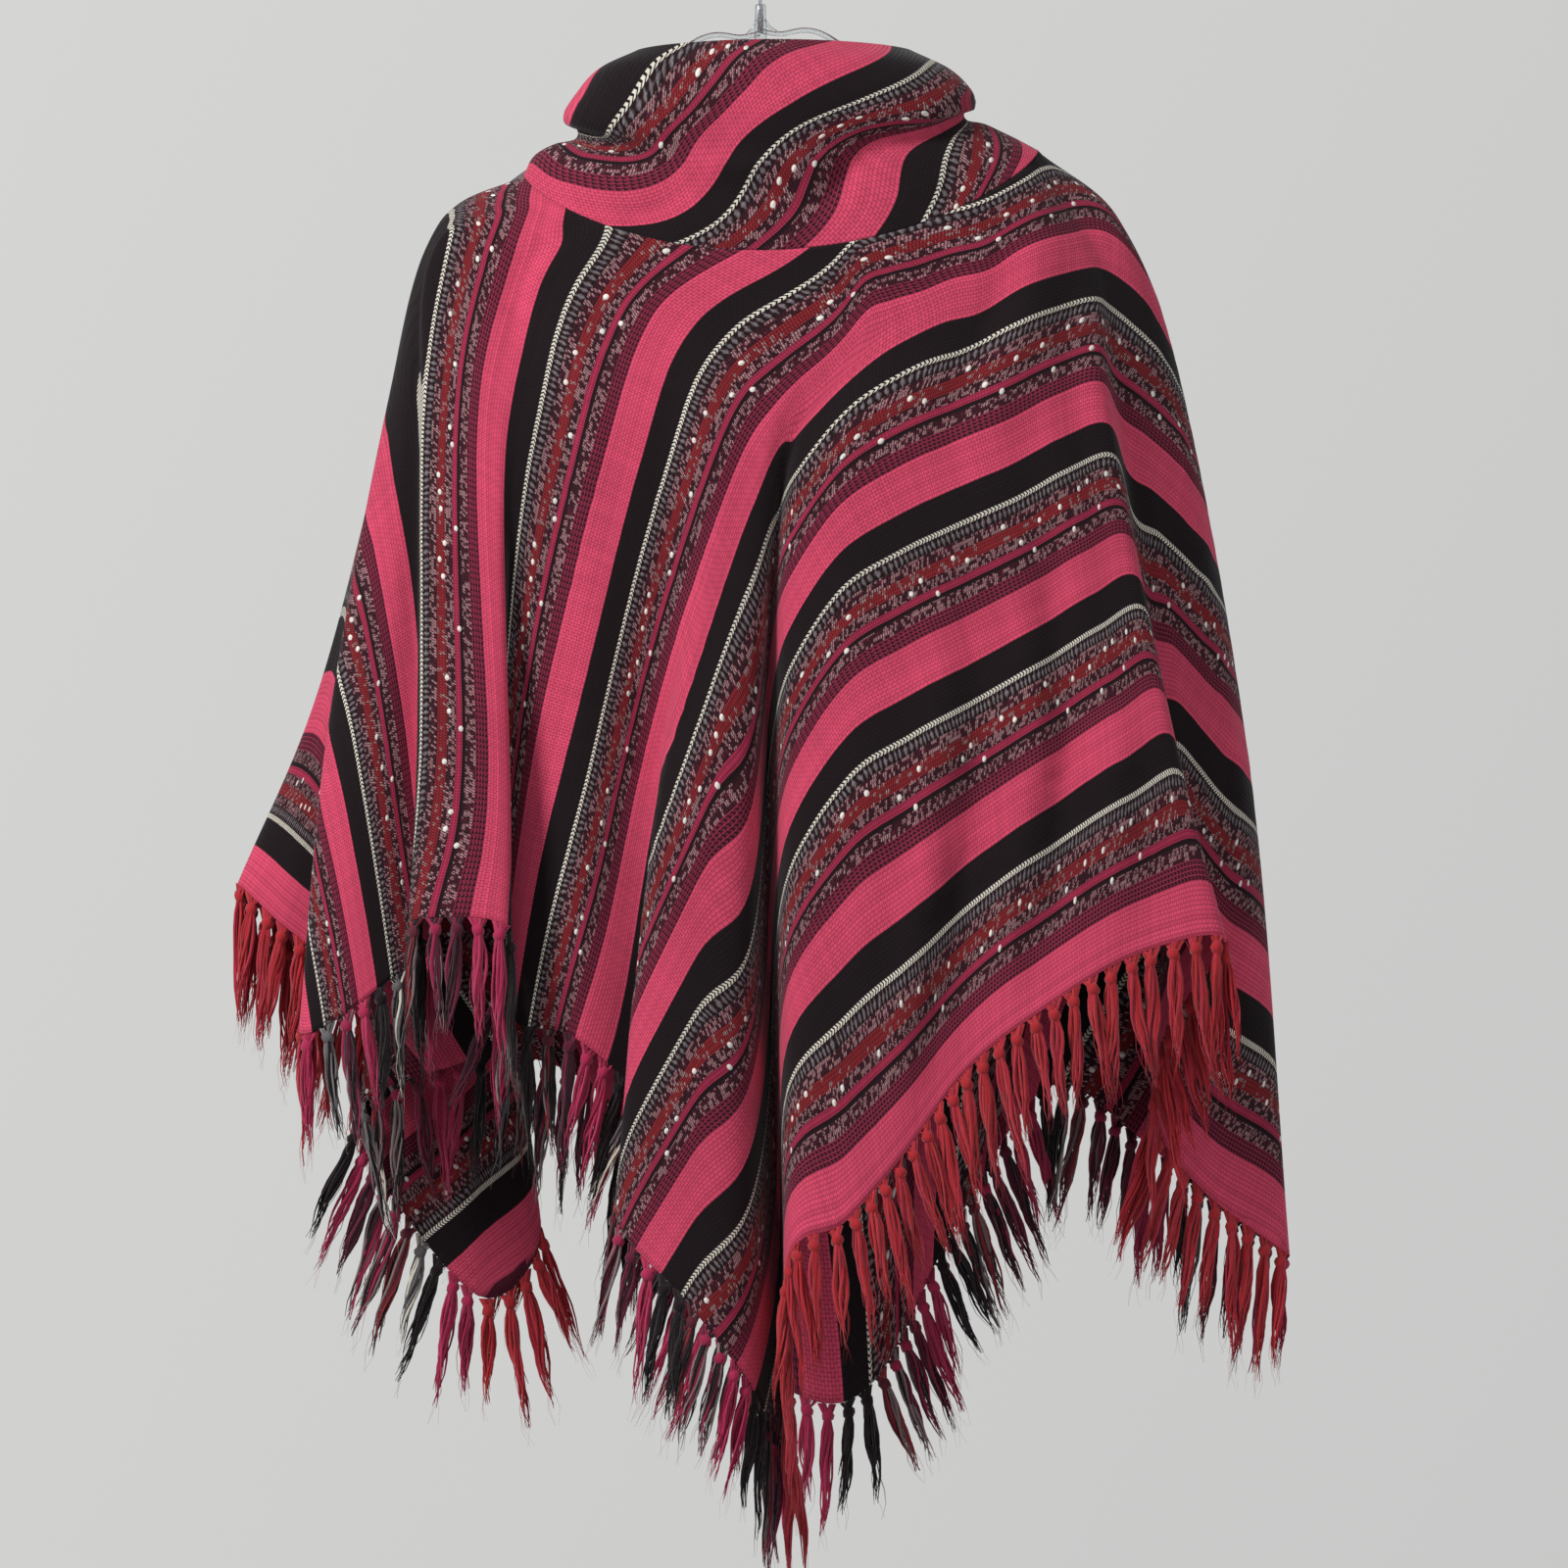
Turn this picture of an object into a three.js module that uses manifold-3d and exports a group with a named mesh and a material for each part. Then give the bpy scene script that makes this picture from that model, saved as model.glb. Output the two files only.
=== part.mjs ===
// A striped, fringed poncho with a tall slouched collar, hanging on a clear hanger.
// Millimetres, +Z up, the front faces -Y. The origin is the inside top of the hook,
// so every height is written as a drop below it.
import * as THREE from 'three';
import { mergeVertices } from 'three/addons/utils/BufferGeometryUtils.js';
import Module from 'manifold-3d';

const wasm = await Module();
wasm.setup();

// Cloth and fringe
const clothThickness = 2;
const collarThickness = 2.4;
const seamGap = 0.8;
const collarHeight = 40;
const columnsPerFold = 3;
const bodyRows = 14;
const collarColumns = 40;
const collarRows = 13;
const stripGap = 0.98;
const cornerGap = 0.16;
const samplesPerFold = 60;
const stripHeight = 5;
const stripThickness = 1.4;
const tasselPitch = 14.8;
const tasselLength = [72, 96];
const tasselHalfWidth = 3.2;
const tasselLean = 0.1;
// How far a tassel swings out from plumb, tried in turn until it hangs clear
const tasselSwings = [0.15, 0.4, 0.8, 1.4, 2.2, 4];
const tasselWidest = 0.3;
const tasselClearance = 0.4;

// Hanger
const wireRadius = 1.1;
const hookRadius = 20;
const shankBottom = 76;
const hubRadius = 4.2;
const hubTop = 58;
const hubBottom = 80;
const armHalfHeight = 4.5;
const armHalfDepth = 3;
const armSections = 14;
const armSides = 8;
const seat = 0.4;
const boreGap = 0.35;

// The neck hole: a flattened ring, low in front, a little lower on the left
const neckRing = { left: -156, right: 184, front: -62, back: 45,
  dropLeft: 172, dropFront: 223, dropRight: 156, dropBack: 150 };

// The collar, one row for each ring from the seam up to the rolled top edge
const collarRings = [
  neckRing,
  { left: -148, right: 169, front: -60, back: 44, dropLeft: 158, dropFront: 200, dropRight: 148, dropBack: 140 },
  { left: -125, right: 139, front: -55, back: 40, dropLeft: 145, dropFront: 166, dropRight: 133, dropBack: 124 },
  { left: -129, right: 142, front: -63, back: 46, dropLeft: 135, dropFront: 143, dropRight: 127, dropBack: 112 },
  { left: -122, right: 138, front: -64, back: 46, dropLeft: 119, dropFront: 120, dropRight: 115, dropBack: 100 },
  { left: -107, right: 125, front: -56, back: 42, dropLeft: 102, dropFront: 98, dropRight: 102, dropBack: 90 },
  { left: -82, right: 100, front: -42, back: 34, dropLeft: 90, dropFront: 84, dropRight: 90, dropBack: 87 },
];

// The folds of the body, one row for each ridge or valley, round from the left side.
// turn: degrees round the neck hole. Each other entry: x, y and drop of the line there.
const stations = [0, 0.15, 0.38, 0.66, 1];
const folds = [
  { fold: 'left side', turn: -6, shoulder: [-209, 16, 200], chest: [-239, 28, 306], waist: [-291, 30, 506], hem: [-347, 22, 642] },
  { fold: 'left flap', turn: -2, shoulder: [-211, 11, 202], chest: [-243, 19, 312], waist: [-287, 14, 518], hem: [-321, 2, 665] },
  { fold: 'left valley', turn: 2, shoulder: [-213, 6, 204], chest: [-245, 10, 317], waist: [-280, 0, 530], hem: [-290, -6, 696] },
  { fold: 'left corner', turn: 6, shoulder: [-214, 1, 207], chest: [-246, 0, 322], waist: [-285, -18, 538], hem: [-304, -40, 739] },
  { fold: 'panel one', turn: 11, shoulder: [-215, -5, 209], chest: [-242, -10, 325], waist: [-269, -32, 546], hem: [-277, -50, 729] },
  { fold: 'panel one right', turn: 16, shoulder: [-214, -11, 212], chest: [-235, -19, 328], waist: [-248, -36, 553], hem: [-246, -46, 705] },
  { fold: 'valley one', turn: 22, shoulder: [-213, -17, 215], chest: [-225, -27, 333], waist: [-224, -34, 559], hem: [-218, -42, 686] },
  { fold: 'bold ridge', turn: 28, shoulder: [-209, -24, 219], chest: [-218, -42, 339], waist: [-222, -66, 562], hem: [-229, -78, 665] },
  { fold: 'bold ridge right', turn: 38, shoulder: [-179, -37, 234], chest: [-179, -60, 351], waist: [-168, -78, 562], hem: [-167, -88, 668] },
  { fold: 'valley two', turn: 45, shoulder: [-160, -43, 244], chest: [-160, -60, 356], waist: [-172, -48, 566], hem: [-174, -46, 712] },
  { fold: 'panel three left', turn: 51, shoulder: [-137, -48, 250], chest: [-137, -64, 361], waist: [-150, -52, 569], hem: [-160, -52, 733] },
  { fold: 'panel three', turn: 62, shoulder: [-98, -57, 262], chest: [-95, -74, 367], waist: [-114, -62, 575], hem: [-121, -64, 743] },
  { fold: 'valley three', turn: 73, shoulder: [-56, -64, 270], chest: [-49, -80, 374], waist: [-70, -60, 585], hem: [-79, -58, 790] },
  { fold: 'ridge two', turn: 83, shoulder: [-14, -68, 275], chest: [-17, -84, 375], waist: [-68, -92, 598], hem: [-94, -98, 859] },
  { fold: 'panel four', turn: 92, shoulder: [22, -70, 275], chest: [-1, -83, 374], waist: [-36, -100, 608], hem: [-49, -112, 913] },
  { fold: 'panel four right', turn: 100, shoulder: [48, -70, 273], chest: [9, -78, 371], waist: [-7, -92, 614], hem: [-8, -100, 967] },
  { fold: 'deep valley', turn: 107, shoulder: [68, -69, 270], chest: [17, -73, 369], waist: [5, -48, 618], hem: [20, -34, 1022] },
  { fold: 'ridge three', turn: 113, shoulder: [84, -68, 266], chest: [26, -80, 366], waist: [20, -98, 608], hem: [18, -112, 889] },
  { fold: 'panel five left', turn: 120, shoulder: [103, -66, 262], chest: [55, -87, 357], waist: [58, -108, 588], hem: [55, -124, 862] },
  { fold: 'panel five hollow', turn: 128, shoulder: [126, -62, 254], chest: [90, -84, 348], waist: [100, -104, 569], hem: [90, -118, 822] },
  { fold: 'panel five', turn: 137, shoulder: [149, -57, 244], chest: [123, -80, 338], waist: [146, -98, 552], hem: [136, -108, 762] },
  { fold: 'panel five crown', turn: 147, shoulder: [172, -50, 232], chest: [159, -74, 328], waist: [191, -94, 538], hem: [185, -112, 723] },
  { fold: 'panel five right', turn: 158, shoulder: [192, -41, 221], chest: [194, -66, 319], waist: [233, -90, 526], hem: [246, -104, 687] },
  { fold: 'ridge four', turn: 168, shoulder: [213, -30, 226], chest: [225, -58, 325], waist: [269, -84, 536], hem: [305, -96, 677] },
  { fold: 'valley four', turn: 173, shoulder: [222, -20, 219], chest: [235, -38, 322], waist: [263, -54, 549], hem: [268, -58, 738] },
  { fold: 'panel six', turn: 178, shoulder: [229, -10, 211], chest: [250, -26, 315], waist: [279, -40, 559], hem: [262, -40, 800] },
  { fold: 'panel six right', turn: 183, shoulder: [234, -2, 203], chest: [266, -10, 308], waist: [305, -22, 569], hem: [296, -26, 847] },
  { fold: 'right side', turn: 188, shoulder: [236, 8, 199], chest: [278, 10, 309], waist: [325, 6, 575], hem: [350, 0, 887] },
  { fold: 'back right edge', turn: 197, shoulder: [230, 20, 200], chest: [266, 34, 312], waist: [300, 36, 575], hem: [306, 30, 858] },
  { fold: 'back right', turn: 212, shoulder: [202, 32, 210], chest: [218, 48, 330], waist: [240, 56, 560], hem: [250, 44, 809] },
  { fold: 'back right ridge', turn: 228, shoulder: [160, 41, 220], chest: [168, 56, 345], waist: [184, 66, 560], hem: [192, 58, 777] },
  { fold: 'back valley one', turn: 243, shoulder: [116, 46, 226], chest: [120, 60, 350], waist: [124, 58, 580], hem: [129, 42, 870] },
  { fold: 'back ridge one', turn: 256, shoulder: [72, 48, 230], chest: [72, 62, 360], waist: [74, 66, 610], hem: [77, 54, 972] },
  { fold: 'back middle', turn: 268, shoulder: [28, 48, 232], chest: [28, 62, 360], waist: [30, 60, 620], hem: [29, 44, 984] },
  { fold: 'back ridge two', turn: 280, shoulder: [-16, 48, 230], chest: [-20, 62, 355], waist: [-26, 68, 600], hem: [-27, 58, 930] },
  { fold: 'back valley two', turn: 291, shoulder: [-58, 47, 228], chest: [-66, 60, 345], waist: [-80, 58, 570], hem: [-88, 44, 803] },
  { fold: 'back left', turn: 302, shoulder: [-96, 44, 224], chest: [-108, 58, 335], waist: [-134, 58, 545], hem: [-144, 42, 760] },
  { fold: 'back left inner', turn: 313, shoulder: [-130, 41, 220], chest: [-150, 55, 330], waist: [-190, 58, 530], hem: [-209, 42, 764] },
  { fold: 'back turn in', turn: 322, shoulder: [-156, 38, 215], chest: [-184, 53, 325], waist: [-236, 60, 520], hem: [-269, 50, 803] },
  { fold: 'back corner', turn: 330, shoulder: [-172, 36, 211], chest: [-202, 54, 321], waist: [-214, 73, 525], hem: [-189, 67, 917] },
  { fold: 'back turn out', turn: 336, shoulder: [-184, 33, 208], chest: [-213, 55, 317], waist: [-188, 85, 520], hem: [-148, 84, 868] },
  { fold: 'back left layer', turn: 341, shoulder: [-193, 30, 205], chest: [-222, 54, 313], waist: [-218, 96, 515], hem: [-218, 101, 783] },
  { fold: 'back left edge', turn: 346, shoulder: [-200, 26, 203], chest: [-229, 48, 310], waist: [-254, 84, 510], hem: [-287, 88, 712] },
  { fold: 'left back side', turn: 350, shoulder: [-205, 21, 201], chest: [-234, 39, 307], waist: [-276, 58, 507], hem: [-324, 60, 670] },
];

// The four edges of the cloth, one row for each fringe, from corner to corner
const edges = [
  { node: 'fringe_front_left', from: 'left corner', to: 'deep valley', colour: 0x4a1c30 },
  { node: 'fringe_front_right', from: 'deep valley', to: 'right side', colour: 0xb02438 },
  { node: 'fringe_back_right', from: 'right side', to: 'back corner', colour: 0x4a1c30 },
  { node: 'fringe_back_left', from: 'back corner', to: 'left corner', colour: 0xb02438 },
];

const finish = (color, roughness, metalness = 0) =>
  new THREE.MeshStandardMaterial({ color, roughness, metalness });
const cloth = finish(0xb02a5c, 0.85);
const clearPlastic = finish(0xe6ecee, 0.15);
const steel = finish(0xb8babd, 0.3, 1);

const node = (name, geometry, material) => {
  const mesh = new THREE.Mesh(geometry, material);
  mesh.name = name;
  return mesh;
};

// Repeatable chance, from 0 to 1
let chanceState = 7;
const chance = () => {
  chanceState = (Math.imul(chanceState, 1103515245) + 12345) >>> 0;
  return chanceState / 4294967296;
};

// A cubic through four values at their own parameters, with Catmull-Rom slopes
const through = (values, at, t) => {
  let i = 0;
  while (i < at.length - 2 && t > at[i + 1]) i += 1;
  const slope = (k) => {
    const before = Math.max(k - 1, 0);
    const after = Math.min(k + 1, at.length - 1);
    return (values[after] - values[before]) / (at[after] - at[before]);
  };
  const width = at[i + 1] - at[i];
  const f = (t - at[i]) / width;
  const f2 = f * f;
  const f3 = f2 * f;
  return (2 * f3 - 3 * f2 + 1) * values[i] + (f3 - 2 * f2 + f) * width * slope(i)
    + (3 * f2 - 2 * f3) * values[i + 1] + (f3 - f2) * width * slope(i + 1);
};

// A point of a flattened ring, at an angle from its left end round the front
const onRing = (ring, angle) => {
  const across = (1 - Math.cos(angle)) / 2;
  const forward = Math.sin(angle);
  const depth = Math.sign(forward) * Math.abs(forward) ** 0.85;
  const low = Math.abs(forward) ** 1.5;
  const side = ring.dropLeft + (ring.dropRight - ring.dropLeft) * across;
  const middle = (ring.dropLeft + ring.dropRight) / 2;
  const dip = forward > 0 ? ring.dropFront - middle : ring.dropBack - middle;
  return [
    ring.left + (ring.right - ring.left) * across,
    depth > 0 ? ring.front * depth : -ring.back * depth,
    side + dip * low,
  ];
};

const radians = (degrees) => degrees * Math.PI / 180;
const foldLines = folds.map((row) => {
  const lines = [onRing(neckRing, radians(row.turn)), row.shoulder, row.chest, row.waist, row.hem];
  return (t) => [0, 1, 2].map((axis) => through(lines.map((point) => point[axis]), stations, t));
});

// The middle of the body's cloth: column counts folds round from the left side,
// t runs from the neck seam at 0 to the hem at 1
const bodyPoint = (column, t) => {
  const count = foldLines.length;
  const first = Math.floor(column);
  const f = column - first;
  const near = [-1, 0, 1, 2].map((k) => foldLines[(first + k + 2 * count) % count](t));
  const weights = [
    (-f + 2 * f * f - f ** 3) / 2,
    (2 - 5 * f * f + 3 * f ** 3) / 2,
    (f + 4 * f * f - 3 * f ** 3) / 2,
    (-f * f + f ** 3) / 2,
  ];
  const [x, y, drop] = [0, 1, 2].map((axis) =>
    near.reduce((sum, point, k) => sum + point[axis] * weights[k], 0));
  return new THREE.Vector3(x, y, -drop);
};

// The middle of the collar's cloth, t from just above the seam to the top edge
const ringSteps = collarRings.map((_, i) => i / (collarRings.length - 1));
const collarPoint = (turn, t) => {
  const rings = collarRings.map((ring) => onRing(ring, turn));
  const [x, y, drop] = [0, 1, 2].map((axis) => through(rings.map((point) => point[axis]), ringSteps, t));
  return new THREE.Vector3(x, y, -drop);
};

// The outward normal of a surface given by two parameters
const normalOf = (point, a, b, stepA, stepB) => {
  const along = point(a + stepA, b).sub(point(a - stepA, b));
  const down = point(a, Math.min(b + stepB, 1)).sub(point(a, Math.max(b - stepB, 0)));
  return down.cross(along).normalize();
};

// A closed wall: an outer and an inner skin on a ring of columns, joined at both rims.
// turned says that the columns run the other way to the rows, so that faces point out.
const wall = (pointAt, normalAt, columns, rows, thickness, turned) => {
  const positions = [];
  for (const side of [1, -1]) {
    for (let j = 0; j <= rows; j += 1) {
      for (let i = 0; i < columns; i += 1) {
        const offset = normalAt(i, j).multiplyScalar(side * thickness / 2);
        positions.push(...pointAt(i, j).add(offset).toArray());
      }
    }
  }
  const skin = columns * (rows + 1);
  const indices = [];
  const quad = (a, b, c, d) => (turned ? indices.push(a, c, b, a, d, c) : indices.push(a, b, c, a, c, d));
  for (let i = 0; i < columns; i += 1) {
    const next = (i + 1) % columns;
    for (let j = 0; j < rows; j += 1) {
      const [a, b, c, d] = [j * columns + i, (j + 1) * columns + i, (j + 1) * columns + next, j * columns + next];
      quad(a, b, c, d);
      quad(skin + a, skin + d, skin + c, skin + b);
    }
    const last = rows * columns;
    quad(i, next, skin + next, skin + i);
    quad(last + i, skin + last + i, skin + last + next, last + next);
  }
  const geometry = new THREE.BufferGeometry();
  geometry.setAttribute('position', new THREE.Float32BufferAttribute(positions, 3));
  geometry.setIndex(indices);
  return geometry;
};

const bodyNormal = (column, t) => normalOf(bodyPoint, column, t, 0.08, 0.02);
const bodyGeometry = wall(
  (i, j) => bodyPoint(i / columnsPerFold, j / bodyRows),
  (i, j) => bodyNormal(i / columnsPerFold, j / bodyRows),
  folds.length * columnsPerFold, bodyRows, clothThickness, false);

const collarTurn = (i) => i * 2 * Math.PI / collarColumns;
const collarStart = seamGap / collarHeight;
const collarStep = (j) => collarStart + (1 - collarStart) * j / collarRows;
const collarGeometry = wall(
  (i, j) => collarPoint(collarTurn(i), collarStep(j)),
  (i, j) => normalOf(collarPoint, collarTurn(i), collarStep(j), 0.05, 0.02).negate(),
  collarColumns, collarRows, collarThickness, true);

// Solids for joining and cutting
const toSolid = (geometry) => {
  const bare = geometry.clone();
  bare.deleteAttribute('normal');
  bare.deleteAttribute('uv');
  const merged = mergeVertices(bare, 1e-4);
  return new wasm.Manifold(new wasm.Mesh({
    numProp: 3,
    vertProperties: new Float32Array(merged.attributes.position.array),
    triVerts: new Uint32Array(merged.index.array),
  }));
};
const toGeometry = (solid) => {
  const mesh = solid.getMesh();
  const geometry = new THREE.BufferGeometry();
  geometry.setAttribute('position', new THREE.BufferAttribute(mesh.vertProperties, 3));
  geometry.setIndex(new THREE.BufferAttribute(mesh.triVerts, 1));
  return geometry;
};

// A geometry from its points and triangles, turned to face outwards:
// the sign of the volume says which way it was wound
const closedMesh = (points, indices) => {
  let volume = 0;
  for (let i = 0; i < indices.length; i += 3) {
    const [a, b, c] = indices.slice(i, i + 3).map((k) => points[k]);
    volume += a.dot(b.clone().cross(c));
  }
  if (volume < 0) indices.reverse();
  const geometry = new THREE.BufferGeometry();
  geometry.setAttribute('position', new THREE.Float32BufferAttribute(points.flatMap((p) => p.toArray()), 3));
  geometry.setIndex(indices);
  return geometry;
};

// A solid lofted through sections of equal point counts, closed by a fan at each end
const loft = (sections) => {
  const sides = sections[0].length;
  const middle = (points) => points.reduce((sum, p) => sum.add(p), new THREE.Vector3()).divideScalar(sides);
  const points = [middle(sections[0]), ...sections.flat(), middle(sections[sections.length - 1])];
  const indices = [];
  const end = points.length - 1;
  for (let i = 0; i < sides; i += 1) {
    const next = (i + 1) % sides;
    indices.push(0, 1 + next, 1 + i);
    for (let j = 0; j < sections.length - 1; j += 1) {
      const low = 1 + j * sides;
      const high = low + sides;
      indices.push(low + i, low + next, high + next, low + i, high + next, high + i);
    }
    indices.push(end, end - sides + i, end - sides + next);
  }
  return closedMesh(points, indices);
};

// The hem as the body's wall has it, straight between its columns
const hemFrame = (column) => {
  const first = Math.floor(column * columnsPerFold + 1e-6);
  const f = column * columnsPerFold - first;
  const [here, next] = [first, first + 1].map((k) => bodyPoint(k / columnsPerFold, 1));
  const [normal, nextNormal] = [first, first + 1].map((k) => bodyNormal(k / columnsPerFold, 1));
  const along = next.clone().sub(here).normalize();
  normal.lerp(nextNormal, f).normalize();
  return { point: here.lerp(next, f), along, normal, outward: along.clone().cross(normal).normalize() };
};

// A tassel's four corners round its middle, some way down from its root
const tasselSection = (root, direction, frame, along, half) => {
  const sideways = frame.along.clone().addScaledVector(direction, -frame.along.dot(direction)).normalize();
  const across = sideways.clone().cross(direction);
  return [[-1, 1], [1, 1], [1, -1], [-1, -1]].map(([a, b]) => root.clone()
    .addScaledVector(direction, along).addScaledVector(sideways, a * half)
    .addScaledVector(across, b * half * Math.sign(across.dot(frame.normal))));
};

// One edge's fringe: a narrow strip just off the hem, whose lower face runs out into tassels
const bodySolid = toSolid(bodyGeometry);
const fringe = ({ from, to }) => {
  const start = folds.findIndex((row) => row.fold === from);
  const stop = folds.findIndex((row) => row.fold === to);
  const span = (stop - start + folds.length) % folds.length;
  const samples = span * samplesPerFold;
  const columnAt = (sample) => start + cornerGap + (span - 2 * cornerGap) * sample / samples;
  const lengths = [0];
  for (let i = 1; i <= samples; i += 1) {
    const step = hemFrame(columnAt(i)).point.distanceTo(hemFrame(columnAt(i - 1)).point);
    lengths.push(lengths[i - 1] + step);
  }
  const count = Math.round(lengths[samples] / tasselPitch);
  const frameAt = (share) => {
    const wanted = lengths[samples] * share;
    return hemFrame(columnAt(Math.max(lengths.findIndex((value) => value >= wanted), 0)));
  };
  const corner = (frame, along, side) => frame.point.clone()
    .addScaledVector(frame.outward, along).addScaledVector(frame.normal, side * stripThickness / 2);
  const half = tasselHalfWidth / lengths[samples];
  const points = [];
  const indices = [];
  const quad = (a, b, c, d) => indices.push(a, b, c, a, c, d);
  const hung = [];
  let before = 0;
  const addSection = (share) => {
    const frame = frameAt(share);
    points.push(corner(frame, stripGap, 1), corner(frame, stripGap + stripHeight, 1),
      corner(frame, stripGap + stripHeight, -1), corner(frame, stripGap, -1));
    const here = points.length - 4;
    if (here === 0) {
      quad(0, 1, 2, 3);
      return null;
    }
    quad(before, here, here + 1, before + 1);
    quad(before + 2, here + 2, here + 3, before + 3);
    quad(before + 3, here + 3, here, before);
    const underside = [before + 1, here + 1, here + 2, before + 2];
    before = here;
    return underside;
  };
  // each tassel swings out until it clears the cloth and the ones already hung
  const addTassel = (share, base) => {
    const frame = frameAt(share);
    const root = corner(frame, stripGap + stripHeight, 0);
    const length = tasselLength[0] + (tasselLength[1] - tasselLength[0]) * chance();
    const lean = new THREE.Vector3(chance() - 0.5, chance() - 0.5, 0).multiplyScalar(tasselLean);
    for (const swing of tasselSwings) {
      const direction = new THREE.Vector3(0, 0, -1).add(lean).addScaledVector(frame.outward, swing).normalize();
      const section = (along, width) => tasselSection(root, direction, frame, along, width);
      const middle = section(length * tasselWidest, tasselHalfWidth);
      const tip = root.clone().addScaledVector(direction, length);
      const sweep = toSolid(loft([base.map((k) => points[k].clone()),
        section(length * tasselWidest, tasselHalfWidth + tasselClearance), section(length + 1, 0.6)]));
      const clear = [bodySolid, ...hung].every((other) => sweep.intersect(other).isEmpty());
      if (!clear) continue;
      hung.push(sweep);
      const first = points.length;
      points.push(...middle, tip);
      for (let k = 0; k < 4; k += 1) {
        const next = (k + 1) % 4;
        quad(base[k], base[next], first + next, first + k);
        indices.push(first + k, first + next, first + 4);
      }
      return true;
    }
    return false;
  };
  addSection(0);
  for (let k = 0; k < count; k += 1) {
    const share = (k + 0.5) / count;
    quad(...addSection(share - half));
    const base = addSection(share + half);
    if (!addTassel(share, base)) quad(...base);
  }
  quad(...addSection(1));
  quad(before + 3, before + 2, before + 1, before);
  return closedMesh(points, indices);
};

// The hanger: two arms that carry the shoulders from inside, and a hub bored for the hook
const leftArm = { column: 1.5, near: [-44, 85], far: [-100, 138] };
const rightArm = { column: 26.4, near: [44, 82], far: [100, 134] };
const armPath = ({ column, near, far }, below) => new THREE.CatmullRomCurve3([
  new THREE.Vector3(0, 0, -hubBottom),
  ...[near, far].map(([x, drop]) => new THREE.Vector3(x, 0, -drop)),
  ...[0.05, 0.13].map((t) => bodyPoint(column, t)
    .addScaledVector(bodyNormal(column, t), -(clothThickness / 2 + below + armHalfHeight))),
]);
const arm = (shape, below) => {
  const path = armPath(shape, below);
  const sections = [];
  for (let i = 0; i <= armSections; i += 1) {
    const centre = path.getPointAt(i / armSections);
    const tangent = path.getTangentAt(i / armSections);
    const depth = new THREE.Vector3(0, 1, 0);
    const up = tangent.clone().cross(depth).normalize();
    sections.push(Array.from({ length: armSides }, (_, k) => {
      const angle = -(k + 0.5) * 2 * Math.PI / armSides;
      return centre.clone().addScaledVector(up, armHalfHeight * Math.cos(angle))
        .addScaledVector(depth, armHalfDepth * Math.sin(angle));
    }));
  }
  return toSolid(loft(sections));
};
const upright = (radius, top, bottom) => {
  const geometry = new THREE.CylinderGeometry(radius, radius, bottom - top, 16);
  geometry.rotateX(Math.PI / 2);
  geometry.translate(0, 0, -(top + bottom) / 2);
  return toSolid(geometry);
};
const hub = upright(hubRadius, hubTop, hubBottom + 4);
const bore = upright(wireRadius + boreGap, hubTop - 1, shankBottom + boreGap);
// an arm goes up to the cloth until only the seat's gap is left
const seated = (shape) => {
  let below = 0;
  while (!arm(shape, below).intersect(bodySolid).isEmpty()) below += seat / 2;
  return arm(shape, below + seat);
};
const hangerSolid = hub.add(seated(leftArm)).add(seated(rightArm)).subtract(bore);

// The hook: a steel wire up out of the hub, out to the right and round over the top
const hookPath = new THREE.CurvePath();
const hookCentre = new THREE.Vector3(0, 0, wireRadius - hookRadius);
const onHook = (degrees) => new THREE.Vector3(
  hookRadius * Math.cos(radians(degrees)), 0, hookCentre.z + hookRadius * Math.sin(radians(degrees)));
const hookDegrees = [-35, -10, 20, 50, 80, 110, 140, 170, 190];
const neckOfHook = new THREE.Vector3(0, 0, -hubTop + 6);
hookPath.add(new THREE.LineCurve3(new THREE.Vector3(0, 0, -shankBottom), neckOfHook));
hookPath.add(new THREE.CatmullRomCurve3([neckOfHook, new THREE.Vector3(2, 0, -46), new THREE.Vector3(12, 0, -38),
  ...hookDegrees.map(onHook)]));
const wire = new THREE.Shape();
wire.absarc(0, 0, wireRadius, 0, 2 * Math.PI);
const hookGeometry = new THREE.ExtrudeGeometry(wire, { extrudePath: hookPath, steps: 26, curveSegments: 3 });

const poncho = new THREE.Group();
poncho.add(node('hanger', toGeometry(hangerSolid), clearPlastic));
poncho.add(node('hanger_hook', hookGeometry, steel));
poncho.add(node('body', bodyGeometry, cloth));
poncho.add(node('collar', collarGeometry, cloth));
for (const edge of edges) {
  poncho.add(node(edge.node, fringe(edge), finish(edge.colour, 0.9)));
}

export default poncho;
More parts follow.
